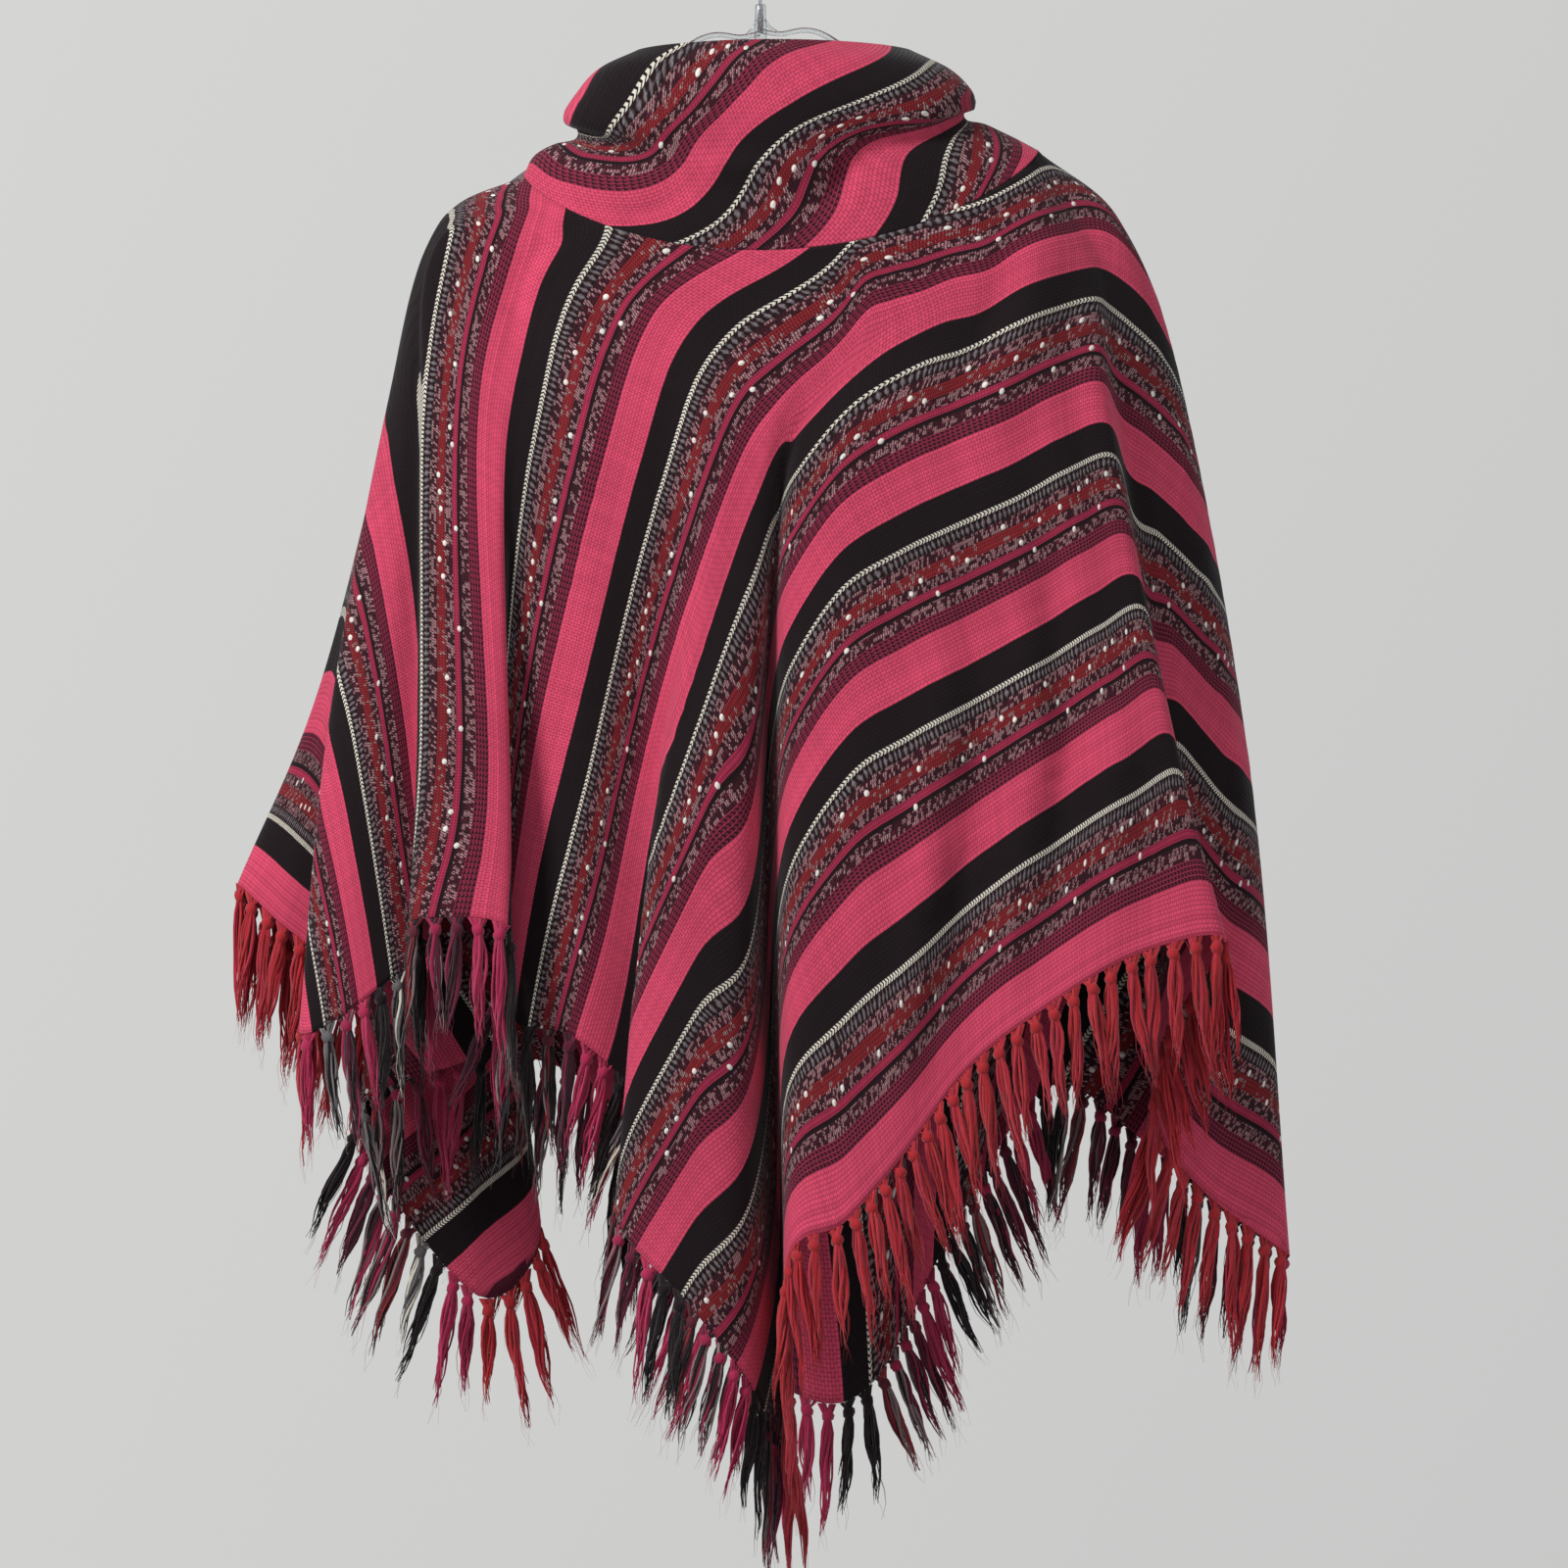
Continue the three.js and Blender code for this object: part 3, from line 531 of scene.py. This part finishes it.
def cloth_piece(name, middle, thickness, warp, across):
    """A closed wall of cloth: two skins on a ring of columns, joined along both rims. Its UV map
    holds the place along the warp and across it, in metres; warp and across have one column more
    than middle, so that a seam can close the ring."""
    rows, columns = middle.shape[:2]
    normals = grid_normals(middle)
    skins = np.concatenate([middle + normals * thickness / 2, middle - normals * thickness / 2])
    j, i = np.meshgrid(np.arange(rows - 1), np.arange(columns), indexing="ij")
    half = rows * columns
    skin = np.stack([np.stack([a, b], -1) for a, b in ((j, i), (j, i + 1), (j + 1, i + 1), (j + 1, i))],
                    -2).reshape(-1, 4, 2)
    ends = np.stack([np.zeros(columns, int), np.full(columns, rows - 1)])[:, :, None]
    i = np.arange(columns)
    rim = np.stack([i, i, i + 1, i + 1], -1)[None].repeat(2, 0)
    rim = np.stack([np.broadcast_to(ends, rim.shape), rim], -1)
    rim[1] = rim[1, :, ::-1]
    side = np.array([0, 1, 1, 0])[None, None].repeat(2, 0).repeat(columns, 1)
    side[1] = side[1, :, ::-1]
    places = np.concatenate([skin, skin[:, ::-1], rim.reshape(-1, 4, 2)])
    back = np.concatenate([np.zeros((len(skin), 4), int), np.ones((len(skin), 4), int), side.reshape(-1, 4)])
    faces = (places[..., 0] * columns + places[..., 1] % columns + back * half)[:, ::-1]
    piece = build_mesh(name, skins * MM, faces)
    layer = piece.data.uv_layers.new(name="weave")
    spots = np.stack([warp, across * REPEAT], -1)[places[..., 0], places[..., 1]][:, ::-1] * MM
    layer.uv.foreach_set("vector", spots.ravel().astype(np.float32))
    return piece


# Stripe colours, and the thread of the repeat where each ground starts, going down the right-hand
# panels, in threads of the 45 in a repeat. A pick is one crossing thread, in metres.
THREADS, PICK = 45, 0.0021
BLACK, PINK, RED = rgb(28, 17, 20), rgb(222, 76, 108), rgb(162, 44, 50)
MAGENTA, GREY, CORD = rgb(128, 36, 64), rgb(112, 106, 108), rgb(232, 224, 208)
MARL_DARK, MARL_LIGHT, SLUB = rgb(30, 17, 21), rgb(180, 156, 152), rgb(242, 234, 224)
RED_DARK, CHAIN_DARK = rgb(84, 22, 30), rgb(52, 16, 28)
GREY_DARK, GREY_LIGHT = rgb(70, 60, 66), rgb(172, 162, 166)
SOLID_BLACK, CORD_ROWS, LADDER_ROWS, RED_ROWS = (0, 8.75), (8.75, 10.2), (10.4, 13.2), (16.0, 19.5)
MARLED_ROWS, CHAINED_ROWS, SOLID_PINK = ((13.2, 16.0), (19.5, 22.4), (25.6, 28.8)), (28.8, 32.8), (32.8, 45.0)
GROUNDS = [(0, BLACK), (13.2, rgb(78, 28, 42)), (16, RED), (19.5, rgb(74, 26, 40)), (22.4, rgb(178, 50, 82)),
           (24.4, rgb(38, 18, 24)), (25.6, rgb(82, 26, 44)), (28.8, MAGENTA), (32.8, PINK)]


def striped_cloth(name):
    """The woven cloth. The repeat is 45 threads: a stepped ramp lays their ground colours, and
    masks by thread add the plied cord, the fuzzy slub ladder, the marled and the chained rows.
    A plain weave with painted shade darkens the gaps between threads, and each feature is raised by bump."""
    cloth = Finish(name, Roughness=0.9, Sheen_Weight=0.12, Sheen_Roughness=0.45, Specular_IOR_Level=0.2)
    place = cloth.node("ShaderNodeUVMap", {"uv_map": "weave"})
    along, across, _ = cloth.split(place)
    wander = cloth.noise(place, 55.0, 1.0) - 0.5
    stripe = (0 - (across / (REPEAT * MM) + wander * 0.006)).fraction()
    row = stripe * THREADS
    in_row = row.fraction()
    pick = along / PICK

    def chance(length, shift=0.0):
        """A random number for each cell, one thread wide and length long, staggered by thread."""
        cell = cloth.node("ShaderNodeCombineXYZ", {}, (along / length + row.whole() * 0.37 + shift).whole(),
                          row.whole(), (across / (REPEAT * MM)).whole())
        return cloth.node("ShaderNodeTexWhiteNoise", {"noise_dimensions": "3D"}, Vector=cell)

    def band(first, last):
        """1 on the threads from first up to last."""
        return stripe.between(first / THREADS, last / THREADS, 0.0012)

    ground = cloth.node("ShaderNodeValToRGB", {"stepped": True, "ramp": [
        (first / THREADS, colour) for first, colour in GROUNDS]}, stripe)
    # Marled rows: twisted yarn, seen as fine slanting plies of black, white and magenta
    first_marl, second_marl, third_marl = (band(*rows) for rows in MARLED_ROWS)
    marled = first_marl.larger(second_marl).larger(third_marl)
    fine = row * 1.5
    ply = (along / 0.0019 + fine.fraction() * 0.8 + fine.whole() * 0.41).fraction()
    first_ply = ply.over(0.5)
    grain = chance(0.0019, fine.whole() * 0.31)
    light = (grain * first_ply).over(0.55)
    colour = cloth.mix(marled * first_ply * 0.85, ground, MARL_DARK)
    colour = cloth.mix(marled * light, colour, MARL_LIGHT)
    colour = cloth.mix(marled * (1 - first_ply) * grain.over(0.5), colour, MAGENTA)
    # The red rows: red plies, with a bead of white here and there
    reds = band(*RED_ROWS)
    colour = cloth.mix(reds * (1 - first_ply) * 0.8, colour, RED_DARK)
    colour = cloth.mix(reds * first_ply * grain.over(0.86), colour, MARL_LIGHT)
    # Chained rows: dark plaits with pink between
    chained = band(*CHAINED_ROWS)
    link = (along / 0.0042 + (in_row - 0.5).size() * 0.9).fraction()
    colour = cloth.mix(chained * link.over(0.5), colour, CHAIN_DARK)
    colour = cloth.mix(chained * in_row.over(0.8) * 0.7, colour, PINK)
    # The cord: two plies of white that cross over a black ground
    cord = band(*CORD_ROWS)
    strand = (row - 9.47) / 0.73
    cord_ply = (along / 0.0031 + strand.size() * 0.55).fraction().over(0.4)
    colour = cloth.mix(cord * cord_ply, colour, CORD)
    # The ladder: bulky grey slubs, looped across a black ground with red between
    ladder = band(*LADDER_ROWS)
    rung_at = (along / 0.0047 + wander * 1.4 + cloth.noise(place, 90.0, 1.0) * 0.5)
    rung = 1 - (rung_at.fraction() - 0.5).size() * 2.0
    arch = 1 - ((row - 11.8) / 1.35).size()
    tuft = cloth.noise(place, 420.0, 3.0)
    bulk = ladder * (rung * 0.9 + arch * 0.5 + tuft * 0.7 - 0.95).larger(0.0).smaller(1.0)
    colour = cloth.mix(ladder * (tuft - 0.35).larger(0.0) * (1 - rung) * 1.4, colour, RED_DARK)
    colour = cloth.mix((bulk * 1.7).smaller(0.85), colour, cloth.mix(tuft, GREY_DARK, GREY_LIGHT))
    # White slubs: single fat beads, a few cm apart
    spread = along / 0.012 + (across / (REPEAT * MM)).whole() * 0.37
    toss = cloth.node("ShaderNodeTexWhiteNoise", {"noise_dimensions": "1D"}, W=spread.whole())
    second = cloth.node("ShaderNodeTexWhiteNoise", {"noise_dimensions": "1D"}, W=spread.whole() + 71.3)
    bead_x = (spread.fraction() - 0.5) * 12.0 / 2.3
    bead_y = (row - 14.4 - toss * 12.0) / 0.85
    bead = (1 - bead_x * bead_x - bead_y * bead_y).larger(0.0) * second.over(0.35)
    colour = cloth.mix((bead * 3.0).smaller(1.0), colour, SLUB)
    # The weave: picks and threads cross, with painted shade in the gaps between them; in the solid stripes
    # every other crossing is a little lighter
    crossing = (pick * math.pi).wave().size() * (row * math.pi).wave().size()
    brick = ((pick * 0.5 + row.whole() * 0.5).fraction() - 0.5).size() * 2.0
    plain = band(*SOLID_BLACK).larger(band(*SOLID_PINK))
    yarn = cloth.node("ShaderNodeTexWhiteNoise", {"noise_dimensions": "1D"}, W=(across / 0.00218).whole())
    shot = cloth.node("ShaderNodeTexWhiteNoise", {"noise_dimensions": "1D"}, W=pick.whole())
    shade = 0.4 + 0.6 * crossing.math("POWER", 0.6) + brick * plain * 0.22
    patch = cloth.noise(place, 12.0, 2.0)
    # The cord, the beads and the slubs stand proud, so the painted weave shade is lifted off them
    free_of_painted_shade = (cord * 0.8).larger((bead * 3.0).smaller(1.0)).larger(bulk)
    shade = shade + (1 - shade) * free_of_painted_shade
    tone = shade * (0.86 + 0.28 * patch) * (0.92 + 0.2 * yarn) * (0.94 + 0.12 * shot)
    cloth.set(Base_Color=cloth.mix(1.0, colour, cloth.node("ShaderNodeCombineColor", {}, tone, tone, tone),
                                   "MULTIPLY"))
    height = crossing * 0.3 + brick * plain * 0.15 + cord * (0.5 + 0.6 * cord_ply) + bulk * 1.3 + bead * 1.6 \
        + marled * (0.2 + 0.5 * first_ply) + chained * (0.2 + 0.5 * link)
    cloth.bump(height, 0.0008, 0.75)
    return cloth


BODY_COLUMNS, BODY_ROWS = 8, 132
# Soft creases and ridges, each from one (fold, share down the cloth) to another, width and depth in mm
BODY_MARKS = [
    ("below the seam, left", (8.6, 0.03), (9.5, 0.3), 9, -3.0),
    ("left panel, long", (10.5, 0.1), (10.8, 0.7), 14, 4.0),
    ("left panel, inner", (11.9, 0.2), (11.4, 0.85), 16, -4.5),
    ("middle, long", (13.6, 0.25), (12.9, 0.8), 13, -4.0),
    ("right panel, first low", (19.5, 0.55), (18.9, 0.99), 13, 6.0),
    ("right panel, first hollow", (20.1, 0.5), (19.6, 0.97), 11, -5.0),
    ("right panel, second low", (20.9, 0.5), (20.4, 0.97), 12, 6.0),
    ("right panel, second hollow", (21.4, 0.42), (21.0, 0.97), 12, -5.5),
    ("right panel, third low", (22.0, 0.62), (21.8, 0.98), 11, 5.0),
    ("right panel, upper", (21.6, 0.1), (20.7, 0.45), 17, 4.5),
    ("right panel, upper hollow", (20.6, 0.1), (20.1, 0.42), 14, -4.0),
    ("right panel, edge", (22.4, 0.22), (22.3, 0.6), 11, -3.5),
    ("shoulder, right", (23.6, 0.02), (24.2, 0.2), 10, -3.5),
    ("right side, long", (26.2, 0.3), (26.4, 0.9), 12, 4.0),
    ("back right, long", (29.5, 0.2), (29.2, 0.9), 15, -4.5),
    ("back, first", (31.5, 0.12), (31.2, 0.8), 14, 4.0),
    ("back, second", (33.4, 0.3), (33.9, 0.95), 13, -4.0),
    ("back, third", (35.6, 0.15), (35.2, 0.7), 15, 4.5),
    ("back left, low", (37.5, 0.4), (37.2, 0.95), 13, -4.0),
    ("left side, low", (42.0, 0.4), (42.3, 0.9), 11, 3.5),
]


def wrapped(grid):
    """The grid with its first column again at the end."""
    return np.concatenate([grid, grid[:, :1]], 1)


body_columns = np.arange(len(FOLDS) * BODY_COLUMNS) / BODY_COLUMNS
body_rows = np.linspace(0, 1, BODY_ROWS)
body_middle, body_warp, body_across = body_surface(body_columns, body_rows)
body_middle = pressed(body_middle, body_columns, body_rows, BODY_MARKS, len(FOLDS))
woven = striped_cloth("striped_cloth")
body = woven.on(cloth_piece("body_cloth", body_middle, CLOTH_THICK, wrapped(body_warp), wrapped(body_across)))
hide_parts("body")
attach(body, "root")

# The collar.
# A wide tube of the same cloth, sewn round the neck hole. It stands, folds once over itself and
# slouches, with its top edge rolled in.
COLLAR_THICK = 2.4
STRIPE_SLANT = 36
COLLAR_RINGS = [
    NECK,
    dict(left=-148, right=169, front=-60, back=44, drops=(158, 200, 148, 140)),
    dict(left=-125, right=139, front=-55, back=40, drops=(145, 166, 133, 124)),
    dict(left=-129, right=142, front=-63, back=46, drops=(135, 143, 127, 112)),
    dict(left=-122, right=138, front=-64, back=46, drops=(119, 120, 115, 100)),
    dict(left=-107, right=125, front=-56, back=42, drops=(102, 98, 102, 90)),
    dict(left=-82, right=100, front=-42, back=34, drops=(90, 84, 90, 87)),
]
COLLAR_LEVELS = (0, 0.28, 0.42, 0.62, 1)
# The stripe that the collar's cloth shows, for degrees round from the back seam past the left end
# and the front to the seam again, at those levels from the sewn edge up to the rim
COLLAR_STRIPES = [
    (-90, 3.4, 3.75, 4.1, 4.2, 3.9), (-60, 3.0, 3.35, 3.75, 3.85, 3.6), (-30, 2.6, 2.85, 3.35, 3.45, 3.25),
    (0, 2.2, 2.5, 3.02, 3.1, 3.0), (30, 2.1, 2.48, 2.84, 2.93, 2.9), (60, 1.88, 2.3, 2.42, 2.6, 2.72),
    (90, 1.35, 1.66, 1.81, 2.08, 2.42), (120, 0.85, 1.12, 1.36, 1.76, 2.24),
    (150, 0.3, 0.78, 1.42, 1.56, 1.99),
    (180, 0.05, 0.5, 1.3, 1.38, 1.85), (210, -0.2, 0.2, 0.9, 1.05, 1.55), (240, -0.5, -0.15, 0.45, 0.65, 1.1),
    (270, -0.9, -0.55, 0.0, 0.25, 0.7),
]


def collar_surface(degrees, t):
    """The middle of the collar's cloth in mm, a smooth cubic up through its rings, with its place
    along the warp, and across it in repeats."""
    levels = through(np.stack([ring(size, np.radians(degrees)) for size in COLLAR_RINGS]),
                     np.linspace(0, 1, len(COLLAR_RINGS)), t)
    levels[..., 2] *= -1
    rows = np.array(COLLAR_STRIPES)
    round_collar = through(rows[:, 1:, None], rows[:, 0], degrees).transpose(1, 0, 2)
    stripes = through(round_collar, COLLAR_LEVELS, t)[..., 0]
    round_steps = np.linalg.norm(np.diff(levels, axis=1, prepend=levels[:, :1]), axis=-1)
    rise_steps = np.linalg.norm(np.diff(levels, axis=0, prepend=levels[:1]), axis=-1)
    way = np.cumsum(round_steps, axis=1).mean(axis=0)
    rise = np.cumsum(rise_steps, axis=0).mean(axis=1)
    slant = np.radians(STRIPE_SLANT)
    return levels, way[None] * np.cos(slant) + rise[:, None] * np.sin(slant), stripes


# Soft creases and bulges of the collar, in mm: degrees round and share up from the seam
COLLAR_MARKS = [
    ("left crease", (-30, 0.36), (52, 0.36), 9, -6.0),
    ("left fold above it", (-10, 0.5), (50, 0.47), 12, 3.0),
    ("front, smooth over the crease", (58, 0.33), (112, 0.33), 15, 9.0),
    ("right crease", (118, 0.38), (205, 0.36), 9, -6.5),
    ("right tuck", (96, 0.16), (122, 0.36), 9, -5.0),
    ("right fold above it", (125, 0.52), (190, 0.5), 12, 3.0),
    ("front slant", (60, 0.85), (95, 0.6), 14, -3.0),
    ("seam gather, left", (50, 0.04), (66, 0.2), 9, -3.0),
    ("seam gather, right", (130, 0.04), (142, 0.24), 9, -3.0),
    ("back crease, right", (218, 0.3), (262, 0.4), 10, -5.0),
    ("back crease, left", (275, 0.42), (322, 0.34), 10, -5.5),
    ("back bulge", (235, 0.62), (300, 0.6), 15, 3.0),
]
collar_degrees = np.linspace(-90, 270, 321)
collar_rows = np.linspace(0, 1, 112)
collar_middle, collar_warp, collar_across = collar_surface(collar_degrees, collar_rows)
collar_middle = pressed(collar_middle[:, :-1], collar_degrees[:-1], collar_rows, COLLAR_MARKS, 360, -1)
collar_middle = wrapped(collar_middle)[:, :0:-1]
collar = woven.on(cloth_piece("collar_cloth", collar_middle, COLLAR_THICK,
                              collar_warp[:, ::-1], collar_across[:, ::-1]))
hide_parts("collar")
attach(collar, "root")

# The fringe.
# The warp ends, and red yarn on the selvedges, gathered every 15 mm, knotted just under the hem and
# left to hang in soft tapering bundles.
TASSEL_PITCH = 14.8
TASSEL_LONG = (70, 98)
YARNS, WISPS, YARN_STEPS = 20, 3, 10
KNOT_DROP, KNOT_WIDE, KNOT_DEEP, KNOT_LONG = 8.0, 4.3, 3.8, 4.6
SAMPLES = 60
luck = np.random.default_rng(5)
# The yarns in a bundle, by the stripe that it comes from: up to which share of the repeat
BUNDLES = [
    (0.2, [BLACK, BLACK, rgb(44, 34, 38)]),
    (0.3, [rgb(110, 104, 106), BLACK, rgb(140, 134, 134), CORD, BLACK]),
    (0.44, [rgb(100, 36, 50), BLACK, RED, rgb(140, 120, 120)]),
    (0.6, [rgb(168, 40, 78), BLACK, rgb(90, 30, 52), rgb(150, 130, 130)]),
    (0.73, [rgb(104, 30, 56), rgb(56, 18, 32), rgb(144, 36, 70)]),
    (1.01, [rgb(188, 44, 88), rgb(196, 56, 98), rgb(166, 32, 72)]),
]
RED_BUNDLE = [rgb(190, 44, 52), rgb(202, 54, 64), rgb(172, 36, 44), rgb(194, 48, 68)]


def fringe_piece(name, start, stop, red):
    """One edge's tassels as a single mesh. Each yarn is a thin four-sided tube: its middle line
    leaves the hem, narrows to the knot, swells and gathers again to its tip, with slow waves that
    grow as it goes. A lumpy ball round the yarns is the knot."""
    wide = np.arange(len(FOLDS) * SAMPLES) / SAMPLES
    ends, _, across = body_surface(wide, np.array([0.0, 0.9, 0.97, 1.0]))
    span = (stop - start) % len(FOLDS)
    index = (start * SAMPLES + np.arange(span * SAMPLES)) % len(wide)
    hem, stripes = ends[-1][index], across[-1][index]
    tangent = np.gradient(hem, axis=0)
    tangent /= np.linalg.norm(tangent, axis=1, keepdims=True)
    normal = grid_normals(ends)[-1][index]
    off = np.cross(tangent, normal)
    off *= np.sign((off * (ends[-1] - ends[-2])[index]).sum(1))[:, None]
    run = np.concatenate([[0], np.cumsum(np.linalg.norm(np.diff(hem, axis=0), axis=1))])
    count = int(round(run[-1] / TASSEL_PITCH))
    turn = np.arange(4) * np.pi / 2
    t = np.linspace(0, 1, YARN_STEPS)
    lat, lon = np.meshgrid(np.linspace(0, np.pi, 7), np.linspace(0, 2 * np.pi, 9)[:-1], indexing="ij")
    points, faces, tints, total = [], [], [], 0
    for k in range(count):
        i = min(np.searchsorted(run, run[-1] * (k + 0.5) / count), len(run) - 1)
        side, deep = tangent[i], normal[i]
        stray = luck.normal(0, 0.045, 3) * (1, 0.5, 1)
        fall = np.array([0, 0, -1.0]) + off[i] * (0.1 + 0.6 * abs(side[2]) ** 3) * (1, 0.6, 1) + stray
        fall /= np.linalg.norm(fall)
        across_fall = np.cross(deep, fall)
        length = luck.uniform(*TASSEL_LONG)
        place = (-stripes[i]) % 1.0
        shades = RED_BUNDLE if red else next(tones for limit, tones in BUNDLES if place < limit)
        sway, beat = luck.normal(0, 3.5, 2), luck.uniform(0, 2 * np.pi, 2)
        for yarn_number in range(YARNS):
            wisp = yarn_number < WISPS
            own = length * (1.12 if wisp else 1 - luck.uniform(0, 0.55) ** 1.5)
            down = t * own
            knot = np.exp(-((down - 9) / 6.0) ** 2)
            angle, reach = luck.uniform(0, 2 * np.pi), luck.uniform(0.35, 1)
            belly = (1.4 + 3.3 * np.sin(np.pi * t ** 0.7)) * reach * (1 - 0.5 * knot)
            wave = (3.5 if wisp else 1.8) * t * np.sin(t * own / 8 + luck.uniform(0, 6)) + sway[0] * t**2
            weave_off = 1.4 * t * np.sin(t * own / 8 + beat[1]) + sway[1] * 0.5 * t**2
            root = side * (luck.uniform(-6, 6) * np.clip(1 - down / 7, 0, 1))[:, None]
            path = (hem[i] + fall * down[:, None] + root
                    + across_fall * (belly * np.cos(angle + 1.8 * t) + wave)[:, None]
                    + deep * (belly * 0.8 * np.sin(angle + 1.8 * t) + weave_off)[:, None])
            thick = (0.22 if wisp else luck.uniform(0.75, 1.35)) * np.clip((1 - t) * 2.2, 0.1, 1) ** 0.8
            rings = path[:, None] + thick[:, None, None] * (
                np.cos(turn)[None, :, None] * across_fall + np.sin(turn)[None, :, None] * deep)
            points.append(rings.reshape(-1, 3))
            faces.append(grid_faces(YARN_STEPS, 4, total))
            faces.append(np.array([[3, 2, 1, 0]]) + total)
            faces.append(np.array([[0, 1, 2, 3]]) + total + (YARN_STEPS - 1) * 4)
            tints.append(np.tile(shades[luck.integers(len(shades))], (YARN_STEPS * 4, 1)))
            total += YARN_STEPS * 4
        lump = 1 + 0.14 * np.sin(3 * lon + lat * 2.5 + beat[0])
        ball = (hem[i] + fall * (KNOT_DROP - KNOT_LONG * np.cos(lat) * lump)[..., None]
                + across_fall * (KNOT_WIDE * np.sin(lat) * np.cos(lon) * lump)[..., None]
                + deep * (KNOT_DEEP * np.sin(lat) * np.sin(lon) * lump)[..., None])
        points.append(ball.reshape(-1, 3))
        faces.append(grid_faces(*lat.shape, total))
        tints.append(np.tile(shades[0], (lat.size, 1)))
        total += lat.size
    piece = build_mesh(name, np.concatenate(points) * MM, np.concatenate(faces))
    layer = piece.data.color_attributes.new("yarn", "FLOAT_COLOR", "POINT")
    tint = np.concatenate(tints)
    opaque = np.concatenate([tint, np.ones((len(tint), 1))], 1)
    layer.data.foreach_set("color", opaque.ravel().astype(np.float32))
    return piece


def yarn_finish(name):
    """Loose spun yarn: the bundle's own colour, paler and darker along its fibres, with a nap."""
    yarn = Finish(name, Roughness=0.9, Sheen_Weight=0.2, Sheen_Roughness=0.5, Specular_IOR_Level=0.2)
    own = yarn.node("ShaderNodeVertexColor", {"layer_name": "yarn"})
    place = yarn.node("ShaderNodeTexCoord", {}, out="Object")
    stretched = yarn.node("ShaderNodeMapping", {}, Vector=place, Scale=(900.0, 900.0, 90.0))
    fibre = yarn.noise(stretched, 1.0, 3.0)
    yarn.set(Base_Color=yarn.mix(fibre * 0.55, own, yarn.mix(0.5, own, BLACK)))
    yarn.bump(fibre, 0.0006)
    return yarn


yarn = yarn_finish("fringe_yarn")
EDGES = [("fringe_front_left", 0, 1, False), ("fringe_front_right", 1, 2, True),
         ("fringe_back_right", 2, 3, False), ("fringe_back_left", 3, 0, True)]
for node, first, second, red in EDGES:
    piece = yarn.on(fringe_piece(node + "_tassels", CORNERS[first], CORNERS[second], red))
    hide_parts(node)
    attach(piece, "root")

# The backdrop, the light and the camera.
# A wide pale sheet 9 m behind glows softly, with painted light: paler at the upper left and darker to the
# right and below, and the light comes from the upper left in front; the camera looks level at the front from
# 9 m.
VIEW_MIDDLE = (15.6 * MM, -575 * MM)
VIEW_WIDE = 1.04
VIEW_FAR = 9.0
BACKDROP_FAR, BACKDROP_HALF = 9, 8
backdrop = build_mesh("backdrop", [(x * BACKDROP_HALF, BACKDROP_FAR, z * BACKDROP_HALF)
                                   for x, z in ((-1, -1), (1, -1), (1, 1), (-1, 1))], [(0, 1, 2, 3)])
glow = Finish("pale_backdrop", Base_Color=rgb(0, 0, 0), Roughness=1.0, Emission_Strength=1.0)
glow_x, _, glow_z = glow.split(glow.node("ShaderNodeTexCoord", {}, out="Object"))
# Painted light: the glow is paler at the upper left and darker to the right and below, as a wall lit from the
# upper left
painted_window_light = (0.5 - glow_x * 0.17 + glow_z * 0.09).larger(0.0).smaller(1.0)
glow.set(Emission_Color=glow.mix(painted_window_light, rgb(194, 195, 194), rgb(219, 219, 217)))
glow.on(backdrop)


def soft_light(name, place, aim, size, power, colour=(1, 1, 1)):
    """A square area light at a place, turned to face aim."""
    data = bpy.data.lights.new(name, "AREA")
    data.size, data.energy, data.color = size, power, colour
    light = bpy.data.objects.new(name, data)
    light.location = place
    light.rotation_euler = (Vector(aim) - Vector(place)).to_track_quat("-Z", "Y").to_euler()
    bpy.context.scene.collection.objects.link(light)


soft_light("window", (-2.6, -2.2, 1.6), (0, 0, -0.5), 1.0, 122)
soft_light("room", (2.2, -3.0, 0.6), (0, 0, -0.6), 2.4, 14)
world = bpy.data.worlds.new("room_light")
world.use_nodes = True
world.node_tree.nodes["Background"].inputs[0].default_value = (0.9, 0.92, 0.95, 1)
world.node_tree.nodes["Background"].inputs[1].default_value = 0.4
bpy.context.scene.world = world
bpy.context.scene.view_settings.view_transform = "Standard"

camera_data = bpy.data.cameras.new("camera")
SENSOR = 36
camera_data.sensor_width = SENSOR
camera_data.lens = SENSOR * VIEW_FAR / VIEW_WIDE
camera = bpy.data.objects.new("camera", camera_data)
camera.location = (VIEW_MIDDLE[0], -VIEW_FAR, VIEW_MIDDLE[1])
camera.rotation_euler = (math.pi / 2, 0, 0)
bpy.context.scene.collection.objects.link(camera)
bpy.context.scene.camera = camera
